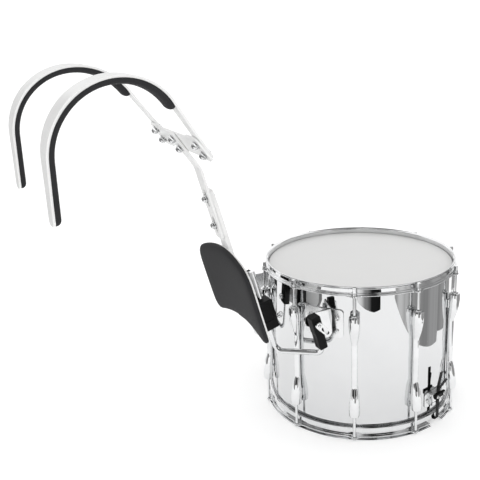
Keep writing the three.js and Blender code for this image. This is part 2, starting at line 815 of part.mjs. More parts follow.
function makeStrainerLever(station) {
  const pivot = vector(DRUM.radius + SEAT_GAP + STRAINER.pivotReach, 0, STRAINER.pivotHeight);
  const { leverWidth, lever, leverLength, tab, hubRadius, pinRadius, railGap, rail } = STRAINER;
  const hubHalf = railGap - RUNNING_FIT;
  const axle = pin(pinRadius, pivot.clone().setY(-railGap - rail), pivot.clone().setY(railGap + rail));
  const hub = pin(hubRadius, pivot.clone().setY(-hubHalf), pivot.clone().setY(hubHalf));
  const top = pivot.z + leverLength;
  const arm = outline([
    [pivot.x - lever / 2, pivot.z],
    [pivot.x + lever / 2, pivot.z],
    [pivot.x + lever / 2, top - tab],
    [pivot.x + lever / 2 + tab, top],
    [pivot.x + tab, top + lever / 2],
    [pivot.x - lever / 2, top - tab + lever / 2],
  ]);
  const blade = slabY(arm, -leverWidth / 2, leverWidth / 2);
  addPart(station, 'strainer_lever', carve([axle, hub, blade]), chrome());
}

function makeStrainerKnob(station) {
  const seat = STRAINER.railTop + STRAINER.shelf + SEAT_GAP;
  const { knobRadius, knob, screwRadius, slideTop, screwEntry } = STRAINER;
  const chamfer = screwRadius / 2;
  const profile = [
    [0, slideTop - screwEntry],
    [screwRadius, slideTop - screwEntry],
    [screwRadius, seat],
    [knobRadius - chamfer, seat],
    [knobRadius, seat + chamfer],
    [knobRadius, seat + knob - chamfer],
    [knobRadius - chamfer, seat + knob],
    [0, seat + knob],
  ];
  const x = DRUM.radius + SEAT_GAP + knobRadius + RUNNING_FIT;
  addPart(station, 'strainer_knob', revolve(profile, BOLT.sides).translate(x, 0, 0), chrome());
}

function makeStrainer() {
  const station = stationAt(SNARE.angle + 180);
  makeStrainerBase(station);
  makeStrainerSlide(station);
  makeStrainerLever(station);
  makeStrainerKnob(station);
  const strap = flatBar(ribbonPath(STRAINER.clampTop), RIBBON.width, RIBBON.thickness);
  addPart(station, 'strainer_strap', strap, ribbonCloth());
}

// Where the clamp bolt crosses: the hinge that the whole carrier tilts on
const tilt = radians(CARRIER_TILT);
const pivotX = clampX - CLAMP.pivotHeight * Math.sin(tilt);
const pivotZ = CLAMP.z + CLAMP.pivotHeight * Math.cos(tilt);
const clampInner = clampY - CLAMP.width / 2;
const clampOuter = clampY + CLAMP.width / 2;
const earOuter = clampInner - SEAT_GAP;
const earInner = earOuter - BRACKET.ear;
const sides = [['left', 1], ['right', -1]];

function slabSide(shape, side, near, far, curveSegments) {
  return slabY(shape, Math.min(side * near, side * far), Math.max(side * near, side * far), curveSegments);
}

// Curved mounting plate with four screws and an upright ear round the clamp bolt
function makeBracket(name, side) {
  const toSide = (geometry) => geometry.rotateZ(-radians(side * (90 - BRACKET.angle)) + Math.PI);
  const plate = toSide(shellPlate(BRACKET.halfAngle, BRACKET.plate, BRACKET.bottom, BRACKET.top));
  const screws = plateScrews([-BRACKET.screwAngle, BRACKET.screwAngle], [BRACKET.screwLow, BRACKET.screwHigh],
    BRACKET.plate, BRACKET.screwRadius, BRACKET.screwHead).map(toSide);
  const rootX = pivotX + BRACKET.earLength;
  const ear = new THREE.Shape();
  ear.moveTo(rootX, BRACKET.earRoot);
  ear.lineTo(rootX, pivotZ + BRACKET.nose);
  ear.lineTo(pivotX, pivotZ + BRACKET.nose);
  ear.absarc(pivotX, pivotZ, BRACKET.nose, Math.PI / 2, (5 * Math.PI) / 4, false);
  const wall = slabSide(ear, side, earInner, earOuter);
  const drumCore = pin(DRUM.radius + SEAT_GAP + BRACKET.plate / 2, vector(0, 0, BRACKET.bottom - OVERRUN),
    vector(0, 0, BRACKET.top + BRACKET.nose), DRUM.segments);
  const hole = pin(CLAMP.boltRadius + RUNNING_FIT, vector(pivotX, side * (earInner - OVERRUN), pivotZ),
    vector(pivotX, side * (earOuter + OVERRUN), pivotZ));
  const trimmed = carve([wall], [drumCore, hole]);
  addPart(drumGroup, name, carve([trimmed, plate, ...screws]), chrome());
}

// Black clamp: bored from below for the rod, and across for its bolt
function makeClamp(name, side) {
  const { upperHalfDepth, lowerHalfDepth, top, bottom, stepHeight, corner, pivotHeight } = CLAMP;
  const shape = outline([
    [-upperHalfDepth, top - corner],
    [-upperHalfDepth + corner, top],
    [upperHalfDepth - corner, top],
    [upperHalfDepth, top - corner],
    [upperHalfDepth, stepHeight + corner],
    [lowerHalfDepth, stepHeight],
    [lowerHalfDepth, bottom + corner],
    [lowerHalfDepth - corner, bottom],
    [-lowerHalfDepth + corner, bottom],
    [-lowerHalfDepth, bottom + corner],
    [-lowerHalfDepth, stepHeight],
    [-upperHalfDepth, stepHeight + corner],
  ]);
  const body = slabSide(shape, side, clampInner, clampOuter);
  const boreEnd = vector(0, side * clampY, CLAMP.boreTop);
  const rodBore = pin(JROD.radius + RUNNING_FIT, boreEnd.clone().setZ(bottom - OVERRUN), boreEnd, JROD.sides);
  const boltBore = pin(CLAMP.boltRadius + RUNNING_FIT, vector(0, side * (clampInner - OVERRUN), pivotHeight),
    vector(0, side * (clampOuter + OVERRUN), pivotHeight));
  addPart(carrierGroup, name, carve([body], [rodBore, boltBore]), blackPlastic());
}

// Clamp lever: an open loop on a hub, one with the bolt and its inner nut
function makeClampLever(name, side) {
  const at = (y) => vector(0, side * y, CLAMP.pivotHeight);
  const seat = clampOuter + SEAT_GAP;
  const end = seat + LEVER.hub;
  const nutFace = earInner - SEAT_GAP;
  const hub = pin(LEVER.hubRadius, at(seat), at(end), 10, LEVER.hubRadius * LEVER.hubTopShare);
  const bolt = pin(CLAMP.boltRadius, at(nutFace - BOLT.nut / 2), at(seat + LEVER.hub / 2));
  const nut = pin(BOLT.nutRadius, at(nutFace - BOLT.nut), at(nutFace), 6);
  const loop = new THREE.Shape();
  loop.absarc(0, 0, LEVER.hubRadius, Math.PI / 2, (3 * Math.PI) / 2, false);
  loop.absarc(LEVER.loopLength - LEVER.loopRadius, 0, LEVER.loopRadius, -Math.PI / 2, Math.PI / 2, false);
  const slot = new THREE.Path();
  slot.absarc(LEVER.hubRadius + LEVER.slotRadius, 0, LEVER.slotRadius, Math.PI / 2, (3 * Math.PI) / 2, false);
  slot.absarc(LEVER.loopLength - LEVER.loopRadius, 0, LEVER.slotRadius, -Math.PI / 2, Math.PI / 2, false);
  loop.holes.push(slot);
  const arm = slabSide(loop, side, end - LEVER.thickness, end, 4);
  arm.rotateY(-radians(LEVER.angle)).translate(0, 0, CLAMP.pivotHeight);
  addPart(carrierGroup, name, carve([hub, bolt, nut, arm]), chrome());
}

// Bent rod from the clamp, under the lugs, and up through the carrier block
function makeJRod(name, side) {
  const path = roundedPath([
    vector(0, side * clampY, JROD.tip),
    vector(0, side * clampY, JROD.low),
    vector(JROD.p, side * JROD.y, JROD.low),
    vector(JROD.p, side * JROD.y, JROD.top),
  ], JROD.bend, JROD.bendSteps);
  addPart(carrierGroup, name, roundBar(path, JROD.radius, JROD.sides), chrome());
}

// Black block on the belly plate, bored for the rod and for its thumb screw
const blockBack = BELLY.face + SEAT_GAP;
const blockFront = blockBack + BLOCK.depth;

function makeBlock(name, side) {
  const { chamfer, bottom, top, halfWidth, screwHeight } = BLOCK;
  const shape = outline([
    [blockBack, bottom],
    [blockFront - chamfer, bottom],
    [blockFront, bottom + chamfer],
    [blockFront, top - chamfer],
    [blockFront - chamfer, top],
    [blockBack, top],
  ]);
  const y = side * JROD.y;
  const body = slabSide(shape, side, JROD.y - halfWidth, JROD.y + halfWidth);
  const onRod = (z) => vector(JROD.p, y, z);
  const rodBore = pin(JROD.radius + RUNNING_FIT, onRod(bottom - OVERRUN), onRod(top + OVERRUN), JROD.sides);
  const mouth = vector(blockFront + OVERRUN, y, screwHeight);
  const screwBore = pin(THUMB.radius + RUNNING_FIT, onRod(screwHeight), mouth);
  addPart(carrierGroup, name, carve([body], [rodBore, screwBore]), blackPlastic());
}

// Chrome guide plate that stands on the block beside the rod
function makeGuide(name, side) {
  const { thickness, depth, rise: guideRise, corner, inset, rivetRadius, rivet, rivetShare } = GUIDE;
  const x0 = blockBack;
  const x1 = x0 + depth;
  const z0 = BLOCK.top + SEAT_GAP;
  const z1 = z0 + guideRise;
  const shape = new THREE.Shape();
  shape.moveTo(x0, z0);
  shape.lineTo(x1, z0);
  shape.lineTo(x1, z1 - corner);
  shape.absarc(x1 - corner, z1 - corner, corner, 0, Math.PI / 2, false);
  shape.absarc(x0 + corner, z1 - corner, corner, Math.PI / 2, Math.PI, false);
  const far = JROD.y - JROD.radius - inset;
  const near = far - thickness;
  const rivetX = x0 + depth * rivetShare;
  const rivetZ = z0 + guideRise * rivetShare;
  const head = pin(rivetRadius, vector(rivetX, side * (far - thickness / 2), rivetZ),
    vector(rivetX, side * (far + rivet), rivetZ), BOLT.sides, rivetRadius * SCREW_TOP_SHARE);
  addPart(carrierGroup, name, carve([slabSide(shape, side, near, far), head]), chrome());
}

// Thumb screw that grips the rod: shank, collar and a round paddle
function makeThumbScrew(name, side) {
  const y = side * JROD.y;
  const z = BLOCK.screwHeight;
  const tip = JROD.p + JROD.radius + RUNNING_FIT;
  const seat = blockFront + SEAT_GAP;
  const shank = pin(THUMB.radius, vector(tip, y, z), vector(seat + THUMB.reach, y, z));
  const collar = pin(THUMB.collarRadius, vector(seat, y, z), vector(seat + THUMB.collar, y, z));
  const half = THUMB.paddle / 2;
  const centre = seat + THUMB.reach;
  const paddle = pin(THUMB.paddleRadius, vector(centre, y - half, z), vector(centre, y + half, z), 12);
  addPart(carrierGroup, name, carve([shank, collar, paddle]), chrome());
}

// Belly outline: heights of the lower and upper edge at a share of the half width
function bellyEdges(y, halfWidth, grow) {
  const share = Math.abs(y) / BELLY.halfWidth;
  let top = BELLY.top - (BELLY.top - BELLY.cornerTop) * share * share + grow;
  let bottom = BELLY.bottom - (BELLY.bottom - BELLY.cornerBottom) * share * share - grow;
  const into = Math.abs(y) - (halfWidth - BELLY.corner);
  if (into > 0) {
    const trim = BELLY.corner - Math.sqrt(BELLY.corner ** 2 - into ** 2);
    top -= trim;
    bottom += trim;
  }
  return [bottom, top];
}

const bellyBow = (y) => -BELLY.bow * (y / BELLY.halfWidth) ** 2;

// Places across the belly plate, closer together round its corners
function bellyStations(halfWidth) {
  const places = [];
  for (let i = -BELLY.stations; i <= BELLY.stations; i++) {
    places.push(halfWidth * Math.sin((Math.PI / 2) * (i / BELLY.stations)));
  }
  return places;
}

function makeBellyPlate() {
  const rings = bellyStations(BELLY.halfWidth).map((y) => {
    const [bottom, top] = bellyEdges(y, BELLY.halfWidth, 0);
    const front = BELLY.face + bellyBow(y) - SEAT_GAP;
    const back = front - BELLY.plate;
    return [vector(front, y, bottom), vector(front, y, top), vector(back, y, top), vector(back, y, bottom)];
  });
  addPart(carrierGroup, 'belly_plate', loft(rings), whiteCoat());
}

// Foam pad: crowned towards the wearer and drawn in along all its edges
function makeBellyPad() {
  const { thickness, edge, overhang, sectionSteps } = BELLY_PAD;
  const halfWidth = BELLY.halfWidth + overhang;
  const rings = bellyStations(halfWidth).map((y) => {
    const [bottom, top] = bellyEdges(y, halfWidth, overhang);
    const back = BELLY.face + bellyBow(y) - BELLY.plate - 2 * SEAT_GAP;
    const across = Math.sqrt(Math.max(0, 1 - (y / halfWidth) ** 4));
    const ring = [vector(back, y, bottom), vector(back, y, top)];
    for (let i = 0; i <= sectionSteps; i++) {
      const share = 1 - (2 * i) / sectionSteps;
      const along = Math.sqrt(Math.max(0, 1 - share ** 4));
      const swell = edge + (thickness - edge) * along * across;
      ring.push(vector(back - swell, y, bottom + ((top - bottom) * (1 + share)) / 2));
    }
    return ring;
  });
  addPart(carrierGroup, 'belly_pad', loft(rings), blackFoam());
}

// Lower spine: a flat bar on the belly plate, tapered at its top
function makeSpine() {
  const { width, thickness, bottom, top, taper, topWidth, rivetRadius, rivet } = SPINE;
  const shape = outline([
    [-width / 2, bottom],
    [width / 2, bottom],
    [width / 2, top - taper],
    [topWidth / 2, top],
    [-topWidth / 2, top],
    [-width / 2, top - taper],
  ]);
  const front = BELLY.face + thickness;
  const rivets = SPINE_RIVET_SHARES.map((share) => {
    const z = bottom + (top - bottom) * share;
    const [foot, head] = [front - rivet, front + rivet].map((x) => vector(x, 0, z));
    return pin(rivetRadius, foot, head, BOLT.sides, rivetRadius * SCREW_TOP_SHARE);
  });
  const holes = [STEM_BOLTS.lower, STEM_BOLTS.upper].map((z) =>
    pin(BOLT.radius + RUNNING_FIT, vector(BELLY.face - OVERRUN, 0, z), vector(front + OVERRUN, 0, z)));
  const bar = slabX(shape, BELLY.face, front);
  addPart(carrierGroup, 'lower_spine', carve([bar, ...rivets], holes), whiteCoat());
}

// Crest: the plane of the yoke and the front legs of the arms
const crest = radians(CREST_TILT);
const crestNormal = vector(Math.cos(crest), 0, Math.sin(crest));
const crestUp = vector(-Math.sin(crest), 0, Math.cos(crest));
const archX = clampX - ARM.archSetBack;
const archFront = vector(archX, 0, ARM.archZ).addScaledVector(crestNormal, ARM.archRadius);
const armY = YOKE.halfWidth - ARM.yokeInset;
const boltMiddle = (ARM_BOLTS.first + ARM_BOLTS.second) / 2;
const crestOrigin = archFront.clone().addScaledVector(crestUp, -boltMiddle);
const yokeFront = -ARM.thickness / 2 - SEAT_GAP;
const yokeBack = yokeFront - YOKE.thickness;
const stemMiddle = yokeBack - SEAT_GAP - STEM.thickness / 2;
const boltHalfPitch = (ARM_BOLTS.second - ARM_BOLTS.first) / 2;
const crestGroup = new THREE.Group();
crestGroup.position.copy(crestOrigin);
crestGroup.rotation.y = -crest;
model.add(crestGroup);

// Upper stem: slotted below for height, bent back at the top to lie on the yoke
function makeStem() {
  const toCarrier = (point) => point.clone().sub(carrierGroup.position).applyAxisAngle(vector(0, 1, 0), tilt);
  const lowerX = BELLY.face - SEAT_GAP - STEM.thickness / 2;
  const on = toCarrier(crestOrigin.clone().addScaledVector(crestNormal, stemMiddle));
  const up = crestUp.clone().applyAxisAngle(vector(0, 1, 0), tilt);
  const normal = crestNormal.clone().applyAxisAngle(vector(0, 1, 0), tilt);
  const bendPoint = on.clone().addScaledVector(up, (lowerX - on.x) / up.x);
  const end = on.clone().addScaledVector(up, STEM.topMargin);
  const path = roundedPath([vector(lowerX, 0, STEM.bottom), bendPoint, end], STEM.bend, STEM.bendSteps);
  const bar = flatBar(path, STEM.width, STEM.thickness);
  const half = BOLT.radius + RUNNING_FIT;
  const slots = [STEM_BOLTS.lower, STEM_BOLTS.upper].map((z) => {
    const slot = new THREE.Shape();
    slot.absarc(0, z + STEM.travel, half, 0, Math.PI, false);
    slot.absarc(0, z - STEM.travel, half, Math.PI, 2 * Math.PI, false);
    return slabX(slot, lowerX - STEM.thickness / 2 - OVERRUN, lowerX + STEM.thickness / 2 + OVERRUN);
  });
  const holes = [-boltHalfPitch, boltHalfPitch].map((offset) => {
    const centre = on.clone().addScaledVector(up, offset);
    const reach = STEM.thickness / 2 + OVERRUN;
    const ends = [-reach, reach].map((distance) => centre.clone().addScaledVector(normal, distance));
    return pin(half, ...ends);
  });
  addPart(carrierGroup, 'upper_stem', carve([bar], [...slots, ...holes]), whiteCoat());
}

// A bolt with a button head and an acorn nut, along a direction through a stack
function acornBolt(centre, direction, headFace, nutFace) {
  const at = (distance) => centre.clone().addScaledVector(direction, distance);
  const { radius, headRadius, headTopShare, head, nutRadius, nut, dome, domeFootShare, domeTipShare } = BOLT;
  const tip = nutFace - nut - dome;
  return [
    pin(radius, at(nutFace - nut / 2), at(headFace + head / 2)),
    pin(headRadius, at(headFace), at(headFace + head), BOLT.sides, headRadius * headTopShare),
    pin(nutRadius, at(nutFace), at(nutFace - nut), 6),
    pin(nutRadius * domeFootShare, at(nutFace - nut / 2), at(tip), 10, nutRadius * domeTipShare),
  ];
}

function makeStemBolts() {
  const headFace = BELLY.face + SPINE.thickness + SEAT_GAP;
  const nutFace = BELLY.face - STEM.thickness - 2 * SEAT_GAP;
  for (const [name, height] of Object.entries(STEM_BOLTS)) {
    const bolt = acornBolt(vector(0, 0, height), vector(1, 0, 0), headFace, nutFace);
    addPart(carrierGroup, `stem_bolt_${name}`, carve(bolt), chrome());
  }
}

// Yoke: a waisted cross plate, slotted for the arms and bolted to the stem
function makeYoke() {
  const { halfWidth, lobeHalfHeight, waistHalfHeight, lobeWidth, corner } = YOKE;
  const inner = halfWidth - lobeWidth;
  const shape = outline([
    [-halfWidth, -lobeHalfHeight + corner],
    [-halfWidth + corner, -lobeHalfHeight],
    [-inner, -lobeHalfHeight],
    [-inner + corner, -waistHalfHeight],
    [inner - corner, -waistHalfHeight],
    [inner, -lobeHalfHeight],
    [halfWidth - corner, -lobeHalfHeight],
    [halfWidth, -lobeHalfHeight + corner],
    [halfWidth, lobeHalfHeight - corner],
    [halfWidth - corner, lobeHalfHeight],
    [inner, lobeHalfHeight],
    [inner - corner, waistHalfHeight],
    [-inner + corner, waistHalfHeight],
    [-inner, lobeHalfHeight],
    [-halfWidth + corner, lobeHalfHeight],
    [-halfWidth, lobeHalfHeight - corner],
  ]);
  const half = BOLT.radius + RUNNING_FIT;
  for (const [, side] of sides) {
    for (const offset of [-boltHalfPitch, boltHalfPitch]) {
      const ends = [side * (armY - ARM_BOLTS.slideIn), side * (armY + ARM_BOLTS.slideOut)];
      const slot = new THREE.Path();
      slot.absarc(Math.max(...ends), offset, half, -Math.PI / 2, Math.PI / 2, false);
      slot.absarc(Math.min(...ends), offset, half, Math.PI / 2, (3 * Math.PI) / 2, false);
      shape.holes.push(slot);
    }
  }
  const plate = slabX(shape, yokeBack, yokeFront, 4);
  const nutFace = stemMiddle - STEM.thickness / 2 - SEAT_GAP;
  const bolts = [-boltHalfPitch, boltHalfPitch].flatMap((offset) =>
    acornBolt(vector(0, 0, offset), vector(1, 0, 0), yokeFront - YOKE.thickness / 2, nutFace));
  addPart(crestGroup, 'yoke', carve([plate, ...bolts]), whiteCoat());
}

// Centre line of one arm from its front end to its tip, with its length so far
function armStations(side) {
  const { archZ, archRadius, frontLeg, backLeg, splayStart, archSteps, legSteps } = ARM;
  const sweep = Math.PI - crest;
  const archLength = archRadius * sweep;
  const total = frontLeg + archLength + backLeg;
  const stations = [];
  const add = (x, z, normal, length) => {
    const share = length / total;
    const splayed = Math.max(0, length - splayStart) / (total * ARM_SPLAY_SHARE);
    const drift = Math.sin((Math.PI / 2) * Math.min(1, splayed));
    const y = side * (armY + (ARM.backY - armY) * drift);
    const width = ARM.frontWidth + (ARM.crownWidth - ARM.frontWidth) * rise(share, ARM_WIDEN_SHARES)
      + (ARM.tipWidth - ARM.crownWidth) * rise(share, ARM_NARROW_SHARES);
    stations.push({ point: vector(x, y, z), normal, width, length, total });
  };
  for (let i = 0; i < legSteps; i++) {
    const along = (frontLeg * i) / legSteps;
    const point = archFront.clone().addScaledVector(crestUp, along - frontLeg);
    add(point.x, point.z, crestNormal, along);
  }
  for (let i = 0; i <= archSteps; i++) {
    const angle = crest + (sweep * i) / archSteps;
    const normal = vector(Math.cos(angle), 0, Math.sin(angle));
    const point = normal.clone().multiplyScalar(archRadius);
    add(archX + point.x, archZ + point.z, normal, frontLeg + (archLength * i) / archSteps);
  }
  for (let i = 1; i <= legSteps; i++) {
    const along = (backLeg * i) / legSteps;
    add(archX - archRadius, archZ - along, vector(-1, 0, 0), frontLeg + archLength + along);
  }
  return stations;
}

// White arm: a flat bar that widens over the shoulder, with its two yoke bolts
function makeArm(name, side) {
  const rings = armStations(side).map(({ point, normal, width }) => {
    const face = normal.clone().multiplyScalar(ARM.thickness / 2);
    const half = vector(0, width / 2, 0);
    return [
      point.clone().add(face).add(half),
      point.clone().sub(face).add(half),
      point.clone().sub(face).sub(half),
      point.clone().add(face).sub(half),
    ];
  });
  const bolts = [-boltHalfPitch, boltHalfPitch].flatMap((offset) => {
    const centre = crestOrigin.clone().addScaledVector(crestUp, offset).setY(side * armY);
    return acornBolt(centre, crestNormal, 0, yokeBack - SEAT_GAP);
  });
  addPart(armGroup, name, carve([loft(rings), ...bolts]), whiteCoat());
}

// Foam pad along the inside of an arm: crowned, drawn in at its sides and ends
function makeArmPad(name, side) {
  const { start, thickness, overhang, round, endWidthShare } = ARM_PAD;
  const stations = armStations(side).filter(({ length }) => length >= start);
  const first = stations[0].length;
  const last = stations[0].total;
  const rings = stations.map(({ point, normal, width, length }) => {
    const fromEnd = Math.min(length - first, last - length);
    const ease = Math.sqrt(Math.min(1, (fromEnd + round / 2) / (round * 2)));
    const half = (width / 2 + overhang) * (endWidthShare + (1 - endWidthShare) * ease);
    const depth = thickness * ease;
    const base = point.clone().addScaledVector(normal, -ARM.thickness / 2 - SEAT_GAP);
    const corner = (y, inward) => base.clone().addScaledVector(normal, -inward).add(vector(0, y, 0));
    const one = PAD_SECTION_SHARES.map(([wide, deep]) => corner(half * wide, depth * deep));
    const other = PAD_SECTION_SHARES.map(([wide, deep]) => corner(-half * wide, depth * deep));
    return [...one, ...other.reverse()];
  });
  addPart(armGroup, name, loft(rings), blackFoam());
}

makeShell();
makeHead('batter_head', DRUM.batterHeadHeight, 1);
makeHead('snare_side_head', DRUM.snareHeadHeight, -1);
makeHoops();
makeLugsAndRods();
makeSnareWires();
makeButt();
makeStrainer();
for (const [label, side] of sides) {
  makeBracket(`carrier_bracket_${label}`, side);
  makeClamp(`rod_clamp_${label}`, side);
  makeClampLever(`clamp_lever_${label}`, side);
  makeJRod(`j_rod_${label}`, side);
  makeBlock(`rod_block_${label}`, side);
  makeGuide(`rod_guide_${label}`, side);
  makeThumbScrew(`thumb_screw_${label}`, side);
  makeArm(`shoulder_arm_${label}`, side);
  makeArmPad(`arm_pad_${label}`, side);
}
makeBellyPlate();
makeBellyPad();
makeSpine();
makeStem();
makeStemBolts();
makeYoke();

// The origin is on the floor, below the middle of the whole instrument
model.updateMatrixWorld(true);
const middle = new THREE.Box3().setFromObject(model, true).getCenter(new THREE.Vector3());
model.position.set(-middle.x, -middle.y, 0);

export default model;
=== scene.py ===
# Marching snare drum on its shoulder carrier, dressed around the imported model.
# The values of the pieces are millimetres and degrees; a piece is scaled to metres when it is placed.
import json
import re
from math import atan2, copysign, cos, degrees, hypot, pi, radians, sin, sqrt, tan

import bmesh
import bpy
from mathutils import Matrix, Vector
from mathutils.geometry import interpolate_bezier


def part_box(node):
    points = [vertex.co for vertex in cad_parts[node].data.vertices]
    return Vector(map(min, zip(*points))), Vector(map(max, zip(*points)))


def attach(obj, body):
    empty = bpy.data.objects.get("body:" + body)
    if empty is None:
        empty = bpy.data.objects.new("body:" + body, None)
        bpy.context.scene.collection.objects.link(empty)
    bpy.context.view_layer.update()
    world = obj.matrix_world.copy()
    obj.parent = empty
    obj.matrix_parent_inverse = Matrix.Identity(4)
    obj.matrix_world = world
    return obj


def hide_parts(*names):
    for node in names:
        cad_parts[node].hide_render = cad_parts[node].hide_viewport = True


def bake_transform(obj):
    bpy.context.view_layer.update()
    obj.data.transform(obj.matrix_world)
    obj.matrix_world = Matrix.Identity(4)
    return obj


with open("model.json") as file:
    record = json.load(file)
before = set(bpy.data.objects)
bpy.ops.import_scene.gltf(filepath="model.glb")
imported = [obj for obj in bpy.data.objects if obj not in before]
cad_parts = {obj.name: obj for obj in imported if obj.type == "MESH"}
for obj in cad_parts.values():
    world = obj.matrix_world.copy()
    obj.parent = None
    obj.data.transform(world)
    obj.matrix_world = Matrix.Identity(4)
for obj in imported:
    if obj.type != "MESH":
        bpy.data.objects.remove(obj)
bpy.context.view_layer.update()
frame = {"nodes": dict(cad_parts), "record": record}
bodies = frame["record"]["behaviour"]["bodies"]
bodyOfNode = {node: body for body, nodes in bodies.items() for node in nodes}
print("frame loaded:", len(frame["nodes"]), "nodes")


class Sizes(dict):
    # the values of a piece, read as plain names
    __getattr__ = dict.__getitem__


def spin(angle, axis="Z"):
    return Matrix.Rotation(radians(angle), 4, axis)


# Places: the drum stands at its own axis, the carrier hangs tilted from the clamps
mm = Matrix.Scale(0.001, 4)
shellLow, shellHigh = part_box("shell")
drumAxis = Vector(((shellLow.x + shellHigh.x) / 2, (shellLow.y + shellHigh.y) / 2, 0))
onDrum = Matrix.Translation(drumAxis) @ mm


def around(angle):
    # local x points out of the drum, at an angle from -Y towards +X
    return onDrum @ spin(angle - 90)


clampPlace = Sizes(back=175, side=130, height=230, tilt=15)
# the gap that is left between most pieces that are bolted together
seatGap = 0.3
toClamp = Matrix.Translation((-clampPlace.back, 0, clampPlace.height))
carrierTurn = toClamp @ spin(-clampPlace.tilt, "Y")
onCarrier = onDrum @ carrierTurn
sides = {"Left": 1, "Right": -1}


def linked(name, data):
    made = bpy.data.objects.new(name, data)
    bpy.context.scene.collection.objects.link(made)
    return made


# Camera, fitted to the tension rods in the photograph
camera = Sizes(
    place=(-0.5855, -1.1999, 0.7883), right=(0.9050, -0.4230, -0.0452),
    ahead=(0.3918, 0.8702, -0.2986), lens=57.03, sensor=36,
)


def makeCamera():
    data = bpy.data.cameras.new("photoCamera")
    data.lens = camera.lens
    data.sensor_width = camera.sensor
    data.clip_start = 0.05
    data.clip_end = 50
    view = linked("photoCamera", data)
    right = Vector(camera.right).normalized()
    back = -Vector(camera.ahead).normalized()
    up = back.cross(right).normalized()
    turn = Matrix((right, up, back)).transposed().to_4x4()
    view.matrix_world = Matrix.Translation(camera.place) @ turn
    bpy.context.scene.camera = view


makeCamera()
print("camera placed")


# Shared effects
def fill(node, entries):
    # an entry takes a constant, or a node and the name or number of its output
    for entry, value in entries.items():
        if isinstance(value, tuple) and isinstance(value[0], bpy.types.Node):
            node.id_data.links.new(value[0].outputs[value[1]], node.inputs[entry])
        else:
            node.inputs[entry].default_value = value


def addNode(nodes, kind, entries, **settings):
    node = nodes.new("ShaderNode" + kind)
    for label, value in settings.items():
        setattr(node, label, value)
    fill(node, entries)
    return node


def coordinates(nodes, kind="Object"):
    return addNode(nodes, "TexCoord", {}), kind


def noise(nodes, vector, scale, detail=2.0, roughness=0.5):
    entries = {"Vector": vector, "Scale": scale, "Detail": detail, "Roughness": roughness}
    return addNode(nodes, "TexNoise", entries), "Fac"


def remap(nodes, value, fromLow, fromHigh, toLow, toHigh):
    limits = (value, fromLow, fromHigh, toLow, toHigh)
    entries = dict(zip(("Value", "From Min", "From Max", "To Min", "To Max"), limits))
    return addNode(nodes, "MapRange", entries), "Result"


def combine(nodes, operation, first, second):
    return addNode(nodes, "Math", {0: first, 1: second}, operation=operation), 0


def mix(nodes, share, first, second):
    return addNode(nodes, "Mix", {0: share, 6: first, 7: second}, data_type="RGBA"), 2


def newGroup(name, inputs, outputs):
    group = bpy.data.node_groups.new(name, "ShaderNodeTree")
    for label, value in inputs.items():
        kind = "NodeSocketColor" if isinstance(value, tuple) else "NodeSocketFloat"
        socket = group.interface.new_socket(name=label, in_out="INPUT", socket_type=kind)
        socket.default_value = value
    for label in outputs:
        kind = "NodeSocketColor" if label == "Color" else "NodeSocketFloat"
        group.interface.new_socket(name=label, in_out="OUTPUT", socket_type=kind)
    return group, group.nodes, group.nodes.new("NodeGroupInput"), group.nodes.new("NodeGroupOutput")


def makeHandlingGroup():
    # faint smears and hairlines of a polished or coated part that is carried by hand
    inputs = {"Smear Scale": 9.0, "Hairline Scale": 220.0, "Low": 0.03, "High": 0.12}
    group, nodes, entry, result = newGroup("handling", inputs, ("Roughness", "Height", "Smear"))
    place = coordinates(nodes)
    smears = noise(nodes, place, (entry, "Smear Scale"), 4.0, 0.62)
    stretch = {"Vector": place, "Scale": (1.0, 1.0, 0.06), "Rotation": (0.3, 0.12, 0.0)}
    stretched = (addNode(nodes, "Mapping", stretch), "Vector")
    hairlines = noise(nodes, stretched, (entry, "Hairline Scale"), 3.0)
    smears = remap(nodes, smears, 0.42, 0.72, 0.0, 1.0)
    hairlines = remap(nodes, hairlines, 0.55, 0.75, 0.0, 0.45)
    both = combine(nodes, "ADD", smears, hairlines)
    rough = remap(nodes, both, 0.0, 1.0, (entry, "Low"), (entry, "High"))
    fill(result, {"Roughness": rough, "Height": hairlines, "Smear": smears})
    return group


def makeGrainGroup():
    # fine moulded or sprayed grain with a slow unevenness under it
    inputs = {
        "Grain Scale": 900.0, "Slow Scale": 30.0, "Slow Share": 0.4,
        "Dark": (0.0, 0.0, 0.0, 1.0), "Light": (1.0, 1.0, 1.0, 1.0),
    }
    group, nodes, entry, result = newGroup("grain", inputs, ("Height", "Color", "Mask"))
    place = coordinates(nodes)
    fine = noise(nodes, place, (entry, "Grain Scale"), 2.0, 0.7)
    slow = noise(nodes, place, (entry, "Slow Scale"), 3.0)
    layers = {0: (entry, "Slow Share"), 2: fine, 3: slow}
    height = (addNode(nodes, "Mix", layers, data_type="FLOAT"), 0)
    mask = remap(nodes, height, 0.3, 0.7, 0.0, 1.0)
    colour = mix(nodes, mask, (entry, "Dark"), (entry, "Light"))
    fill(result, {"Height": height, "Color": colour, "Mask": mask})
    return group


handlingGroup = makeHandlingGroup()
grainGroup = makeGrainGroup()


def newMaterial(name, **constants):
    material = bpy.data.materials.new(name)
    material.use_nodes = True
    nodes = material.node_tree.nodes
    shader = nodes["Principled BSDF"]
    fill(shader, {label.replace("_", " "): value for label, value in constants.items()})
    return material, nodes, shader


def addBump(nodes, shader, height, strength, distance):
    entries = {"Height": height, "Strength": strength, "Distance": distance}
    fill(shader, {"Normal": (addNode(nodes, "Bump", entries), "Normal")})


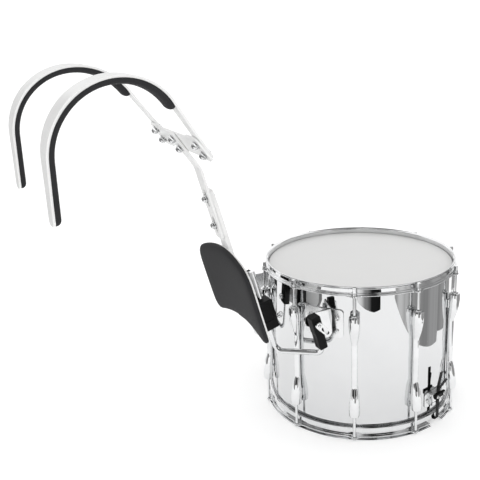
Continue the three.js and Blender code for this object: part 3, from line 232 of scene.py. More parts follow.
def metalFinish(name, colour, smudge, rough, smear, hairline, bump):
    material, nodes, shader = newMaterial(name, Metallic=1.0)
    amounts = {"Smear Scale": smear, "Hairline Scale": hairline, "Low": rough[0], "High": rough[1]}
    marks = addNode(nodes, "Group", amounts, node_tree=handlingGroup)
    tint = mix(nodes, (marks, "Smear"), (*colour, 1), (*smudge, 1))
    fill(shader, {"Base Color": tint, "Roughness": (marks, "Roughness")})
    addBump(nodes, shader, (marks, "Height"), bump, 0.0002)
    return material


def grainFinish(name, dark, light, rough, bump, distance, grain, slow, share, **constants):
    material, nodes, shader = newMaterial(name, **constants)
    amounts = {
        "Grain Scale": grain, "Slow Scale": slow, "Slow Share": share,
        "Dark": (*dark, 1), "Light": (*light, 1),
    }
    grains = addNode(nodes, "Group", amounts, node_tree=grainGroup)
    roughness = remap(nodes, (grains, "Mask"), 0.0, 1.0, *rough)
    fill(shader, {"Base Color": (grains, "Color"), "Roughness": roughness})
    addBump(nodes, shader, (grains, "Height"), bump, distance)
    return material


def ribbonFinish(name):
    # woven tape: ribs across its length and a fine weave
    material, nodes, shader = newMaterial(name, Sheen_Weight=0.03, Specular_IOR_Level=0.2)
    weave = {"Vector": coordinates(nodes), "Scale": 420.0, "Distortion": 0.6}
    ribs = (addNode(nodes, "TexWave", weave, bands_direction="Z"), "Fac")
    colour = mix(nodes, ribs, (0.004, 0.004, 0.0045, 1), (0.014, 0.014, 0.015, 1))
    fill(shader, {"Base Color": colour, "Roughness": remap(nodes, ribs, 0.0, 1.0, 0.82, 0.6)})
    addBump(nodes, shader, ribs, 0.5, 0.0002)
    return material


# Metals: base and smudged colour, roughness from and to, scales of smears and hairlines, bump
metals = {
    "shellChrome": ((0.71, 0.715, 0.72), (0.68, 0.685, 0.69), (0.012, 0.045), 6, 160, 0.01),
    "chrome": ((0.78, 0.785, 0.79), (0.7, 0.705, 0.71), (0.03, 0.1), 24, 320, 0.03),
    "satinChrome": ((0.76, 0.765, 0.77), (0.7, 0.705, 0.71), (0.14, 0.24), 24, 320, 0.03),
    "plated": ((0.8, 0.805, 0.81), (0.73, 0.735, 0.74), (0.03, 0.09), 30, 260, 0.02),
    "steelWire": ((0.62, 0.625, 0.63), (0.5, 0.5, 0.51), (0.14, 0.3), 60, 500, 0.05),
    "fleshHoop": ((0.7, 0.7, 0.71), (0.6, 0.6, 0.61), (0.22, 0.4), 40, 400, 0.05),
}
finishes = {name: metalFinish(name, *values) for name, values in metals.items()}
finishes["film"] = grainFinish(
    "film", (0.67, 0.67, 0.665), (0.7, 0.7, 0.695), (0.34, 0.42), 0.12, 0.0001, 1400, 14, 0.55,
    Coat_Weight=0.12, Coat_Roughness=0.25,
)
finishes["clearFilm"] = grainFinish(
    "clearFilm", (0.72, 0.725, 0.72), (0.8, 0.8, 0.795), (0.2, 0.28), 0.05, 0.0001, 900, 10, 0.6,
    Coat_Weight=0.3, Coat_Roughness=0.1,
)
finishes["whiteCoat"] = grainFinish(
    "whiteCoat", (0.77, 0.77, 0.765), (0.81, 0.81, 0.805), (0.26, 0.4), 0.1, 0.0003, 420, 18, 0.35,
    Coat_Weight=0.25, Coat_Roughness=0.18,
)
finishes["blackPlastic"] = grainFinish(
    "blackPlastic", (0.003, 0.003, 0.0033), (0.007, 0.007, 0.0075), (0.42, 0.6), 0.25, 0.0002,
    1500, 40, 0.3, Specular_IOR_Level=0.15,
)
finishes["foam"] = grainFinish(
    "foam", (0.015, 0.015, 0.0165), (0.027, 0.027, 0.029), (0.72, 0.9), 0.5, 0.0005,
    950, 35, 0.35, Specular_IOR_Level=0.25, Sheen_Weight=0.03,
)
finishes["ribbon"] = ribbonFinish("wovenRibbon")
print("finishes made:", len(finishes))


# Mesh tools
def moved(bm, matrix):
    bmesh.ops.transform(bm, matrix=matrix, verts=bm.verts)
    return bm


def joined(*parts):
    # puts several meshes into the first one
    whole = parts[0]
    for part in parts[1:]:
        spare = bpy.data.meshes.new("spare")
        part.to_mesh(spare)
        part.free()
        whole.from_mesh(spare)
        bpy.data.meshes.remove(spare)
    return whole


def bevel(bm, geom, width, segments, affect="EDGES"):
    bmesh.ops.bevel(bm, geom=geom, offset=width, offset_type="OFFSET", segments=segments, profile=0.5,
                    affect=affect, material=-1, clamp_overlap=affect == "EDGES")
    return bm


def soften(bm, width, segments=2, fold=30):
    sharp = [e for e in bm.edges if len(e.link_faces) == 2 and e.calc_face_angle(0) > radians(fold)]
    return bevel(bm, sharp, width, segments)


def tidied(bm, distance=0.002):
    bmesh.ops.remove_doubles(bm, verts=bm.verts, dist=distance)
    bmesh.ops.recalc_face_normals(bm, faces=bm.faces)
    return bm


def lathe(profile, segments=96, ring=False):
    bm = bmesh.new()
    verts = [bm.verts.new((radius, 0, height)) for radius, height in profile]
    edges = [bm.edges.new(pair) for pair in zip(verts, verts[1:])]
    if ring:
        edges.append(bm.edges.new((verts[-1], verts[0])))
    bmesh.ops.spin(bm, geom=verts + edges, cent=(0, 0, 0), axis=(0, 0, 1), dvec=(0, 0, 0),
                   angle=2 * pi, steps=segments, use_merge=True, use_duplicate=False)
    return tidied(bm)


def rectangle(left, low, right, high):
    return [(left, low), (right, low), (right, high), (left, high)]


def disc(radius, low, high, segments):
    return lathe(rectangle(0, low, radius, high), segments)


axisTurns = {
    "x": Matrix(((0, 0, 1, 0), (1, 0, 0, 0), (0, 1, 0, 0), (0, 0, 0, 1))),
    "y": Matrix(((1, 0, 0, 0), (0, 0, 1, 0), (0, 1, 0, 0), (0, 0, 0, 1))),
    "z": Matrix.Identity(4),
}


def raised(bm, height):
    # extrudes a flat sheet up z
    grown = bmesh.ops.extrude_face_region(bm, geom=bm.faces[:])["geom"]
    top = [v for v in grown if isinstance(v, bmesh.types.BMVert)]
    bmesh.ops.translate(bm, vec=(0, 0, height), verts=top)
    return bm


def slab(outline, start, end, along, corners=()):
    # extrudes an outline along one axis; corners pairs a radius with the corners that it rounds
    bm = bmesh.new()
    verts = [bm.verts.new((a, b, 0)) for a, b in outline]
    bm.faces.new(verts)
    for radius, numbers in corners:
        bevel(bm, [verts[i] for i in numbers], radius, 5, "VERTICES")
    shifted(raised(bm, end - start), z=start)
    return tidied(moved(bm, axisTurns[along]))


def brick(low, high, round=0.0):
    size = [b - a for a, b in zip(low, high)]
    centre = [(a + b) / 2 for a, b in zip(low, high)]
    bm = bmesh.new()
    bmesh.ops.create_cube(bm, size=1, matrix=Matrix.Translation(centre) @ Matrix.Diagonal((*size, 1)))
    return soften(bm, round, 3) if round else bm


def bar(half, near, far, low, high, round=0.0):
    # a brick that is as wide on either side of the x axis
    return brick((near, -half, low), (far, half, high), round)


def turned(bm, start, end):
    # stands a mesh that was made along z on one point, towards another
    way = (Vector(end) - Vector(start)).to_track_quat("Z", "Y")
    return moved(bm, Matrix.Translation(start) @ way.to_matrix().to_4x4())


def pin(radius, start, end, sides=32, round=0.0):
    bm = disc(radius, 0, (Vector(end) - Vector(start)).length, sides)
    if round:
        soften(bm, round, 3, 40)
    return turned(bm, start, end)


def asObject(bm, name):
    mesh = bpy.data.meshes.new(name)
    bm.to_mesh(mesh)
    bm.free()
    return linked(name, mesh)


def evaluated(work):
    # the mesh that a working object comes to; the object itself goes
    final = work.evaluated_get(bpy.context.evaluated_depsgraph_get())
    result = bmesh.new()
    result.from_mesh(final.to_mesh())
    bpy.data.objects.remove(work)
    return result


def cut(bm, *cutters):
    for cutter in cutters:
        work, tool = asObject(bm, "work"), asObject(cutter, "tool")
        boolean = work.modifiers.new("cut", "BOOLEAN")
        boolean.operation = "DIFFERENCE"
        boolean.solver = "EXACT"
        boolean.object = tool
        bm = tidied(evaluated(work))
        bpy.data.objects.remove(tool)
    return bm


def roundedPath(corners, radius, steps=8):
    # a line of points whose inner corners are arcs
    corners = [Vector(c) for c in corners]
    path = [corners[0]]
    for last, here, following in zip(corners, corners[1:], corners[2:]):
        before, after = (here - last).normalized(), (following - here).normalized()
        angle = before.angle(after)
        inward = (after - before * before.dot(after)).normalized()
        start = here - before * radius * tan(angle / 2)
        for k in range(steps + 1):
            turn = angle * k / steps
            path.append(start + before * radius * sin(turn) + inward * radius * (1 - cos(turn)))
    return path + [corners[-1]]


def roundBar(path, radius, roundness=6):
    data = bpy.data.curves.new("bar", "CURVE")
    data.dimensions = "3D"
    data.bevel_depth = radius
    data.bevel_resolution = roundness
    data.use_fill_caps = True
    spline = data.splines.new("POLY")
    spline.points.add(len(path) - 1)
    for point, place in zip(spline.points, path):
        point.co = (*place, 1)
    result = evaluated(linked("bar", data))
    bpy.data.curves.remove(data)
    return tidied(result)


def onShell(bm, radius, step=3.0):
    # bends a flat slab, drawn as arc length, height and depth, round the shell
    low, high = min(v.co.x for v in bm.verts), max(v.co.x for v in bm.verts)
    count = max(2, round((high - low) / step))
    for i in range(1, count):
        bmesh.ops.bisect_plane(bm, geom=bm.verts[:] + bm.edges[:] + bm.faces[:],
                               plane_co=(low + (high - low) * i / count, 0, 0), plane_no=(1, 0, 0))
    for v in bm.verts:
        arc, height, depth = v.co
        v.co = ((radius + depth) * cos(arc / radius), (radius + depth) * sin(arc / radius), height)
    return tidied(bm)


def shifted(bm, x=0, y=0, z=0):
    return moved(bm, Matrix.Translation((x, y, z)))


def sideSlab(outline, side, near, far, corners=()):
    return slab(outline, min(side * near, side * far), max(side * near, side * far), "y", corners)


def stadium(radius, reach, depth):
    # a slot cutter that is long in y and goes through along x
    bm = bmesh.new()
    bmesh.ops.create_circle(bm, cap_ends=True, segments=40, radius=radius)
    for v in bm.verts:
        if abs(v.co.x) > 0.001:
            v.co.x += copysign(reach, v.co.x)
    raised(bm, 2 * depth)
    shifted(bm, z=-depth)
    return moved(bm, axisTurns["x"])


def curveOn(path, bend, end, heading, steps=10):
    # carries a path on in one curve that ends along a heading
    start, end = Vector(path[-1]), Vector(end)
    curve = interpolate_bezier(start, start + Vector(bend), end - Vector(heading), end, steps)
    return list(path) + curve[1:]


def sheetBody(columns, rows, where, thickness):
    # a grid laid out by a function of two shares, which gives a point and the way to thicken it
    bm = bmesh.new()
    bmesh.ops.create_grid(bm, x_segments=columns, y_segments=rows, size=1)
    growth = bm.verts.layers.float_vector.new("growth")
    for v in bm.verts:
        point, normal = where(v.co.x, v.co.y)
        v.co = point
        v[growth] = normal * thickness
    grown = bmesh.ops.extrude_face_region(bm, geom=bm.faces[:])["geom"]
    for v in grown:
        if isinstance(v, bmesh.types.BMVert):
            v.co += v[growth]
    bm.verts.layers.float_vector.remove(growth)
    return tidied(bm)


def ribbonBody(path, normal, width, thickness, steps=4):
    # a flat ribbon whose face is carried along its path without twist
    path = [Vector(p) for p in path]
    last = len(path) - 1
    stations = []
    for i, point in enumerate(path):
        along = (path[min(i + 1, last)] - path[max(i - 1, 0)]).normalized()
        normal = (Vector(normal) - along * Vector(normal).dot(along)).normalized()
        stations.append((point - normal * thickness / 2, normal, along.cross(normal)))

    def where(u, v):
        point, face, side = stations[round((u + 1) / 2 * last)]
        return point + side * (v * width / 2), face

    return sheetBody(last, steps, where, thickness)


def ownNode(name):
    # the node that has the piece's own name: rodClampLeft is rod_clamp_left, lug01 is lug_01
    return re.sub("([A-Z]|[0-9]+)", r"_\1", name).lower()


def dressed(bm, name, matrix, finish):
    # the place of a piece goes into its mesh
    moved(bm, matrix)
    bmesh.ops.recalc_face_normals(bm, faces=bm.faces)
    piece = asObject(bm, name)
    piece.data.shade_smooth()
    piece.data.materials.append(finishes[finish])
    return piece


def addPiece(bm, name, matrix, finish="chrome", node=None, body=None, fold=38):
    # it stands for a node, its own one if neither node nor body is named
    if not body:
        node = node or ownNode(name)
    piece = dressed(bm, name, matrix, finish)
    piece.data.set_sharp_from_angle(angle=radians(fold))
    weighted = piece.modifiers.new("weighted", "WEIGHTED_NORMAL")
    weighted.keep_sharp = True
    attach(piece, body or bodyOfNode[node])
    if node:
        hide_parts(node)
    return piece


def screwHead(radius, height, start, direction):
    # domed head with a cross recess
    profile = [(0, 0), (radius, 0), (radius, height * 0.3), (radius * 0.93, height * 0.62)]
    profile += [(radius * 0.7, height * 0.9), (radius * 0.35, height), (0, height)]
    head = lathe(profile, 32)
    arm, width, floor = radius * 0.55, radius * 0.11, height * 0.45
    for reach, half in ((arm, width), (width, arm)):
        head = cut(head, brick((-reach, -half, floor), (reach, half, height * 2)))
    return turned(head, start, Vector(start) + Vector(direction))


bolt = Sizes(radius=4, head=3, headRadius=6.5, socket=2.6, nut=5, nutRadius=7, washer=0.9, dome=3.8)


def hexNut(radius, start, end):
    low, high = start + (end - start) * 0.14, end - (end - start) * 0.14
    profile = [(0, start), (radius * 0.9, start), (radius, low)]
    profile += [(radius, high), (radius * 0.9, end), (0, end)]
    return soften(lathe(profile, 6), 0.35, 2, 20)


def acornBolt(name, y, z, headFace, nutFace, matrix, body, node=None):
    # along x, with a button head with a hexagon socket and an acorn nut on a washer
    length = headFace - nutFace
    radius, head, nut, wide, thin = bolt.headRadius, bolt.head, bolt.nut, bolt.nutRadius, bolt.washer
    profile = [(0, 0), (radius, 0), (radius, 0.5), (radius * 0.94, head * 0.45)]
    profile += [(radius * 0.78, head * 0.8), (radius * 0.55, head), (0, head)]
    button = cut(lathe(profile, 40), shifted(disc(bolt.socket, 0, head + 1, 6), z=head * 0.35))
    shifted(button, z=length)
    shank = disc(bolt.radius, 0, length, 32)
    washer = soften(disc(wide + thin, 0, -thin, 48), 0.3, 2)
    dome = [(0, -nut)]
    for k in range(9):
        turn = pi / 2 * k / 8
        dome.append((wide * 0.82 * cos(turn), -nut - 0.3 - bolt.dome * sin(turn)))
    whole = joined(button, shank, washer, hexNut(wide, -thin, -nut - 0.4), lathe(dome, 40))
    addPiece(turned(whole, (nutFace, y, z), (headFace, y, z)), name, matrix, node=node, body=body)


print("mesh tools ready")

# Shell, with bearing edges turned inwards and a vent
shell = Sizes(
    radius=177.8, wall=1.5, bottom=13.8, top=292.2, run=5, fall=4, vent=5.5, ventAngle=108,
    segments=360,
)


def makeShell():
    radius, run, fall = shell.radius, shell.run, shell.fall
    edge = [(radius, -2.2), (radius - 0.3, -0.9), (radius - 1.1, -0.15), (radius - 2, 0)]
    edge += [(radius - run, -fall), (radius - run, -fall - 2.2), (radius - shell.wall, -fall - 6)]
    profile = [(r, shell.top + h) for r, h in edge]
    profile += [(r, shell.bottom - h) for r, h in reversed(edge)]
    bm = lathe(profile, shell.segments, ring=True)
    middle = (shell.top + shell.bottom) / 2
    hole = pin(shell.vent, (radius - 6, 0, middle), (radius + 6, 0, middle))
    bm = cut(bm, moved(hole, spin(shell.ventAngle - 90)))
    addPiece(bm, "drumShell", onDrum, "shellChrome", node="shell")
    grommet = [(4.4, -2.6), (5.3, -2.6), (5.3, 0.2), (8.8, 0.2), (8.4, 1.1), (6.6, 1.7), (4.8, 1.4)]
    ring = turned(lathe(grommet, 48, ring=True), (radius, 0, middle), (radius + 1, 0, middle))
    addPiece(ring, "ventGrommet", around(shell.ventAngle), body="drum")


# Heads: a coated film drawn over the bearing edge into a metal hoop
head = Sizes(
    batter=293, snare=13, film=0.5, inner=178.1, outer=178.6, hoop=181.2, hoopTop=4.2,
    hoopFoot=8.6,
)


def stood(profile, level, outward):
    # puts a profile at a level, turned over for the snare side
    return [(r, level + outward * h) for r, h in profile]


def makeHead(name, level, outward, finish):
    inner, outer, film, foot = head.inner, head.outer, head.film, head.hoopFoot
    section = [(0, 0), (90, 0), (150, 0), (inner - 1.7, 0), (inner - 0.4, -0.35), (inner + 0.3, -1.1)]
    section += [(outer, -2.3), (outer, -foot), (inner, -foot), (inner, -2.4), (inner - 0.4, -1.3)]
    section += [(inner - 1.8, -film), (150, -film), (0, -film)]
    skin = lathe(stood(section, level, outward), shell.segments)
    addPiece(skin, name, onDrum, finish)
    flesh = stood(rectangle(outer + 0.1, -head.hoopTop, head.hoop, -foot), level, outward)
    ring = soften(lathe(flesh, shell.segments, ring=True), 0.6, 2)
    addPiece(ring, name + "FleshHoop", onDrum, "fleshHoop", body="drum")


# Hoops: rolled steel with a flange below, an ear at each rod and a lip turned out on top
hoop = Sizes(
    inner=178.9, skirt=181.6, thick=2.1, flange=3.8, flare=3, ledge=-3.7, earReach=8.6,
    earHalf=12.5, earBlunt=0.8, segments=600, round=1,
)
batterHoop = Sizes(level=293, outward=1, rise=11, drop=6)
snareHoop = Sizes(
    level=13, outward=-1, rise=13, drop=12, gateHalf=18, gateHeight=12, bead=1.4, ledge=5,
    ledgeReach=186.4, lip=188.2,
)
rodAngles = [36 * i for i in range(10)]
snareAngle = 18


def hoopSection(sizes):
    inner, skirt, thick = hoop.inner, hoop.skirt, hoop.thick
    flare, ledge, rise, drop = hoop.flare, hoop.ledge, sizes.rise, sizes.drop
    outer, rim = inner + thick, skirt + thick + sizes.get("bead", hoop.flange)
    section = [
        (inner, ledge), (skirt, ledge), (skirt, -drop), (rim, -drop), (rim, thick - drop),
        (skirt + thick, thick - drop), (skirt + thick, ledge + thick), (outer, ledge + thick),
    ]
    if "ledge" not in sizes:
        section += [(outer, rise - thick - flare), (outer + flare, rise - thick)]
        section += [(outer + flare, rise), (inner + flare, rise), (inner, rise - flare)]
        return section, thick - drop, rim
    # the snare side carries its ears on a ledge near its open end, above a wide lip
    low, reach, lip = sizes.ledge, sizes.ledgeReach, sizes.lip
    section += [(outer, low), (reach, low), (reach, low + thick), (outer + 1, low + thick)]
    section += [(outer + 1, rise - thick - 1.6), (lip, rise - thick), (lip, rise)]
    section += [(inner + flare, rise), (inner, rise - flare)]
    return section, low + thick, reach


def makeHoop(name, sizes, gates=()):
    level, outward = sizes.level, sizes.outward
    profile, earFoot, rim = hoopSection(sizes)
    earTop = earFoot - hoop.thick
    bm = lathe(stood(profile, level, outward), hoop.segments, ring=True)
    for v in bm.verts:
        radius, height = hypot(v.co.x, v.co.y), (v.co.z - level) * outward
        if not earTop - 0.1 < height < earFoot + 0.1 or radius < rim - 0.1:
            continue
        heading = degrees(atan2(v.co.y, v.co.x)) + 90
        off = abs((heading + 18) % 36 - 18) * radians(1) * radius
        bump = cos(pi / 2 * min(1, off / hoop.earHalf)) ** 2
        grown = 1 + hoop.earReach * bump ** hoop.earBlunt / radius
        v.co.x *= grown
        v.co.y *= grown
    soften(bm, hoop.round, 3, 30)
    for angle in gates:
        half = sizes.gateHalf
        gate = bar(half, shell.radius - 4, rim + 8, -3, sizes.gateHeight, 2.5)
        bm = cut(bm, moved(gate, spin(angle - 90)))
    addPiece(bm, name, onDrum)


makeShell()
makeHead("batterHead", head.batter, 1, "film")
makeHead("snareSideHead", head.snare, -1, "clearFilm")
makeHoop("batterHoop", batterHoop)
makeHoop("snareSideHoop", snareHoop, [snareAngle, snareAngle + 180])
print("shell, heads and hoops made")

# Tension rods: washer, collar and square head
rod = Sizes(
    circle=189.4, radius=2.8, washer=5.2, washerDepth=1.2, collar=4.3, square=6.2,
    batter=Sizes(seat=289.4, tip=234, outward=1, collarDepth=4, end=303),
    snare=Sizes(seat=5.6, tip=68, outward=-1, collarDepth=0.8, end=0.3),
)


def tensionRod(sizes):
    seat, tip, outward = sizes.seat, sizes.tip, sizes.outward
    washerTop = seat + outward * rod.washerDepth
    collarTop = washerTop + outward * sizes.collarDepth
    half = rod.square / 2
    shank = disc(rod.radius, tip, washerTop, 24)
    washer = soften(disc(rod.washer, seat, washerTop, 36), 0.4, 2)
    neck = soften(disc(rod.collar, washerTop, collarTop, 32), 0.3, 3)
    ends = sorted((collarTop - outward * 0.4, sizes.end))
    square = brick((-half, -half, ends[0]), (half, half, ends[1]), 0.7)
    return shifted(joined(shank, washer, neck, square), x=rod.circle)


# Bullet lugs: teardrops on a slim tube, straight on the side that faces the shell
lug = Sizes(
    bottom=50, top=252, face=178.6, collar=6.2, collarDepth=2.6, shoulder=9.4, bulge=10.25,
    bulgeShare=0.22, waist=5.6, waistTop=194, blunt=1.7, footHalf=6, footHeight=18, footInset=15,
)


def bulletLug():
    shoulder = lug.top - lug.collarDepth
    widest = shoulder - (shoulder - lug.waistTop) * lug.bulgeShare
    upper = [(lug.collar - 0.8, lug.top), (lug.collar, lug.top - 0.8), (lug.collar, shoulder)]
    upper += [(lug.shoulder - 1, shoulder), (lug.shoulder - 0.2, shoulder - 0.4)]
    for k in range(1, 5):
        rise = sin(pi / 2 * k / 4)
        drop = (shoulder - 0.8 - widest) * (1 - cos(pi / 2 * k / 4))
        upper.append((lug.shoulder + (lug.bulge - lug.shoulder) * rise, shoulder - 0.8 - drop))
    for k in range(1, 13):
        radius = lug.bulge - (lug.bulge - lug.waist) * (k / 12) ** lug.blunt
        upper.append((radius, widest - (widest - lug.waistTop) * k / 12))
    upper.append((lug.waist, lug.waistTop - 2))
    middle = (lug.top + lug.bottom) / 2
    lower = [(r, 2 * middle - z) for r, z in reversed(upper)]
    body = lathe([(0, lug.top)] + upper + lower + [(0, lug.bottom)], 48)
    for v in body.verts:
        # between the widest rings the side that faces the shell stays straight
        between = abs(v.co.z - middle) < widest - middle - 0.01
        v.co.x += lug.face + hypot(v.co.x, v.co.y) if between else rod.circle
    near, far, feet = shell.radius + seatGap, rod.circle - 3, []
    for top in (lug.top - lug.footInset, lug.bottom + lug.footInset + lug.footHeight):
        feet.append(bar(lug.footHalf, near, far, top - lug.footHeight, top, 1.6))
    return joined(body, *feet)


def makeLugsAndRods():
    for i, angle in enumerate(rodAngles):
        number = str(i + 1).zfill(2)
        addPiece(bulletLug(), "lug" + number, around(angle), "plated")
        addPiece(tensionRod(rod.snare), "snareRod" + number, around(angle), body="drum")
        addPiece(tensionRod(rod.batter), "batterRod" + number, around(angle))


makeLugsAndRods()
print("lugs and rods made")

# Snare wires: coiled strands between two soldered end plates
wires = Sizes(
    strands=20, pitch=1.97, radius=0.6, coil=0.16, turn=1.5, half=148, inner=140, outer=156,
    halfWidth=19.3, bottom=11.4, top=12.6,
)


def makeSnareWires():
    half, wide, count = wires.half, wires.halfWidth, round(2 * wires.half / wires.turn)
    profile = [(0, -half)]
    for k in range(2 * count + 1):
        profile.append((wires.radius - wires.coil * (k % 2), -half + k * wires.turn / 2))
    profile.append((0, half))
    strand = moved(lathe(profile, 6), spin(90, "Y"))
    middle = (wires.bottom + wires.top) / 2
    mesh = bpy.data.meshes.new("strand")
    shifted(strand, y=-(wires.strands - 1) * wires.pitch / 2, z=middle).to_mesh(mesh)
    strand.free()
    whole = bmesh.new()
    for _ in range(wires.strands):
        whole.from_mesh(mesh)
        mesh.transform(Matrix.Translation((0, wires.pitch, 0)))
    bpy.data.meshes.remove(mesh)
    addPiece(whole, "snareStrands", around(snareAngle), "steelWire", node="snare_wires", fold=80)
    plates = []
    for near, far in ((wires.inner, wires.outer), (-wires.outer, -wires.inner)):
        plates.append(bar(wide, near, far, wires.bottom, wires.top, 0.3))
    addPiece(joined(*plates), "snareEndPlates", around(snareAngle), body="drum")


# Ribbon from an end plate, out through the gate and up the shell
ribbon = Sizes(start=150, reach=188.9, level=10.7, width=10, thick=0.7, bend=4)


def ribbonPath(top, reach):
    corners = [(ribbon.start, 0, ribbon.level), (reach, 0, ribbon.level), (reach, 0, top)]
    return roundedPath(corners, ribbon.bend)


# Snare butt: bent plate, cast housing, black clamp bar with two screws
butt = Sizes(
    bottom=40, top=70, half=26.4, plate=2, corner=5, screw=3.3, screwArc=20.5, housingHalf=15,
    housingBottom=43, housingTop=68, housingFace=188.2, groove=50, grooveHeight=1.4, clampHalf=16,
    clampBottom=59.5, clampTop=68.5, clampNear=189.6, clampFar=195, key=3.2, keySide=10.5,
    keyShank=1.6,
)
tails = Sizes(rise=42, lean=4, stray=4, sideLean=15, sideRise=25)


def shellPlate(half, bottom, top, thick, corner):
    corners = rectangle(-half, bottom, half, top)
    flat = slab(corners, seatGap, seatGap + thick, "z", [(corner, (0, 1, 2, 3))])
    return onShell(soften(flat, 0.5, 3), shell.radius)


def shellScrew(arc, height, radius, depth, plate):
    out = Vector((cos(arc / shell.radius), sin(arc / shell.radius), 0))
    start = out * (shell.radius + (seatGap + plate)) + Vector((0, 0, height))
    return screwHead(radius, depth, start, out)


def makeButt():
    here, half, wide = around(snareAngle), butt.housingHalf, butt.clampHalf
    plate = shellPlate(butt.half, butt.bottom, butt.top, butt.plate, butt.corner)
    addPiece(plate, "buttPlate", here)
    root = shell.radius + seatGap + butt.plate / 2
    face, low = butt.housingFace, butt.groove
    housing = bar(half, root, face, butt.housingBottom, butt.housingTop, 2.2)
    groove = bar(half + 2, face - 1.2, face + 2, low, low + butt.grooveHeight)
    addPiece(cut(housing, groove), "buttHousing", here, body="drum")
    middle = (butt.bottom + butt.top) / 2
    for name, arc in (("Near", -butt.screwArc), ("Far", butt.screwArc)):
        screw = shellScrew(arc, middle, butt.screw, 2.2, butt.plate)
        addPiece(screw, "buttScrew" + name, here, body="drum")
    clampBar = bar(wide, butt.clampNear, butt.clampFar, butt.clampBottom, butt.clampTop, 1.3)
    addPiece(clampBar, "buttClamp", here, "blackPlastic")
    level = (butt.clampBottom + butt.clampTop) / 2
    for name, y in (("Near", -butt.keySide), ("Far", butt.keySide)):
        key = screwHead(butt.key, 2.2, (butt.clampFar, y, level), (1, 0, 0))
        shank = pin(butt.keyShank, (face - 3, y, level), (butt.clampFar, y, level))
        addPiece(joined(key, shank), "buttKey" + name, here, body="drum")
    makeButtStrap(here)


def makeButtStrap(here):
    top, thick = butt.clampTop, ribbon.thick
    # the two layers lie one on the other in the clamp
    near, far = ribbon.reach - thick / 2, ribbon.reach + thick / 2 + 0.02
    end = (near + tails.lean, tails.stray, top + tails.rise)
    standing = curveOn(ribbonPath(top, near), (0, 0, 18), end, (2, 3, 20))
    strap = ribbonBody(standing, (0, 0, -1), ribbon.width, thick)
    end = (far + 2 * tails.lean, tails.sideLean, top + tails.sideRise)
    path = curveOn([Vector((far, 0, top - 9)), Vector((far, 0, top))], (0, 0, 9), end, (3, 7, 9), 14)
    leaning = ribbonBody(path, (1, 0, 0), ribbon.width, thick)
    for name, part, node in (("buttStrap", strap, "butt_strap"), ("buttTail", leaning, None)):
        addPiece(soften(part, 0.15, 1, 60), name, here, "ribbon", node, "drum")


# Throw-off: base with two rails, sliding clamp, lever and tension knob
strainer = Sizes(
    bottom=58, top=124, half=21.7, plate=2, corner=5, foot=178.1, railGap=13, rail=4.5, railBottom=61,
    railTop=125, ear=26, depth=12, earTop=80, shelfBottom=118, shelfDepth=17, slideBack=180.5,
    slideFace=188.2, slideHalf=12.6, slideBottom=74, slideTop=104, clampNear=189.6, clampFar=193.6,
    clampBottom=77, clampTop=86, post=8.6, pivotX=199.6, pivotZ=70, lever=3.6, leverHalf=8,
    leverLength=58, tab=4.5, hub=4.8, axle=3.2, knobX=186.1, knob=7.6, knobDepth=9, screw=2.3,
    plateScrew=2.8, screwHeights=(61.3, 112), postRadius=1.7, postScrew=2.6, leverTaper=0.14,
    flutes=20, fluteDepth=0.045,
)


def makeStrainer():
    here, s = around(snareAngle + 180), strainer
    root, foot, outerY = s.foot + s.plate / 2, s.foot, s.railGap + s.rail
    plate = shellPlate(s.half, s.bottom, s.top + 1, s.plate, s.corner)
    addPiece(plate, "strainerPlate", here, node="strainer_base")
    outline = [(root, s.railBottom), (foot + s.ear, s.railBottom), (foot + s.ear, s.pivotZ + 4)]
    outline += [(foot + s.depth, s.earTop + 4), (foot + s.depth, s.railTop), (root, s.railTop)]
    corners, rails = [(7, (1,)), (4, (2,)), (6, (3,)), (2.5, (4,))], []
    for side in sides.values():
        rail = sideSlab(outline, side, s.railGap, outerY, corners)
        rail = cut(rail, pin(s.axle + 0.3, (s.pivotX, -30, s.pivotZ), (s.pivotX, 30, s.pivotZ)))
        rails.append(soften(rail, 0.6, 2, 50))
    shelf = bar(outerY, root, foot + s.shelfDepth, s.shelfBottom, s.railTop, 1.4)
    shelf = cut(shelf, pin(s.screw + 0.4, (s.knobX, 0, 110), (s.knobX, 0, 130)))
    addPiece(joined(shelf, *rails), "strainerRails", here, body="drum")
    for name, height in zip(("Low", "High"), s.screwHeights):
        screw = shellScrew(0, height, s.plateScrew, 1.6, s.plate)
        addPiece(screw, "strainerScrew" + name, here, body="drum")
    makeSlide(here)
    makeLever(here)
    makeKnob(here)


def makeSlide(here):
    s, half = strainer, strainer.slideHalf
    body = bar(half, s.slideBack, s.slideFace, s.slideBottom, s.slideTop, 1.2)
    body = cut(body, pin(s.screw + 0.3, (s.knobX, 0, 95), (s.knobX, 0, 110)))
    level = (s.clampBottom + s.clampTop) / 2
    parts = [body, bar(half, s.clampNear, s.clampFar, s.clampBottom, s.clampTop, 0.9)]
    for y in (-s.post, s.post):
        parts.append(pin(s.postRadius, (s.slideFace - 2, y, level), (s.clampFar, y, level)))
        parts.append(screwHead(s.postScrew, 0.9, (s.clampFar, y, level), (1, 0, 0)))
    addPiece(joined(*parts), "strainerSlide", here)


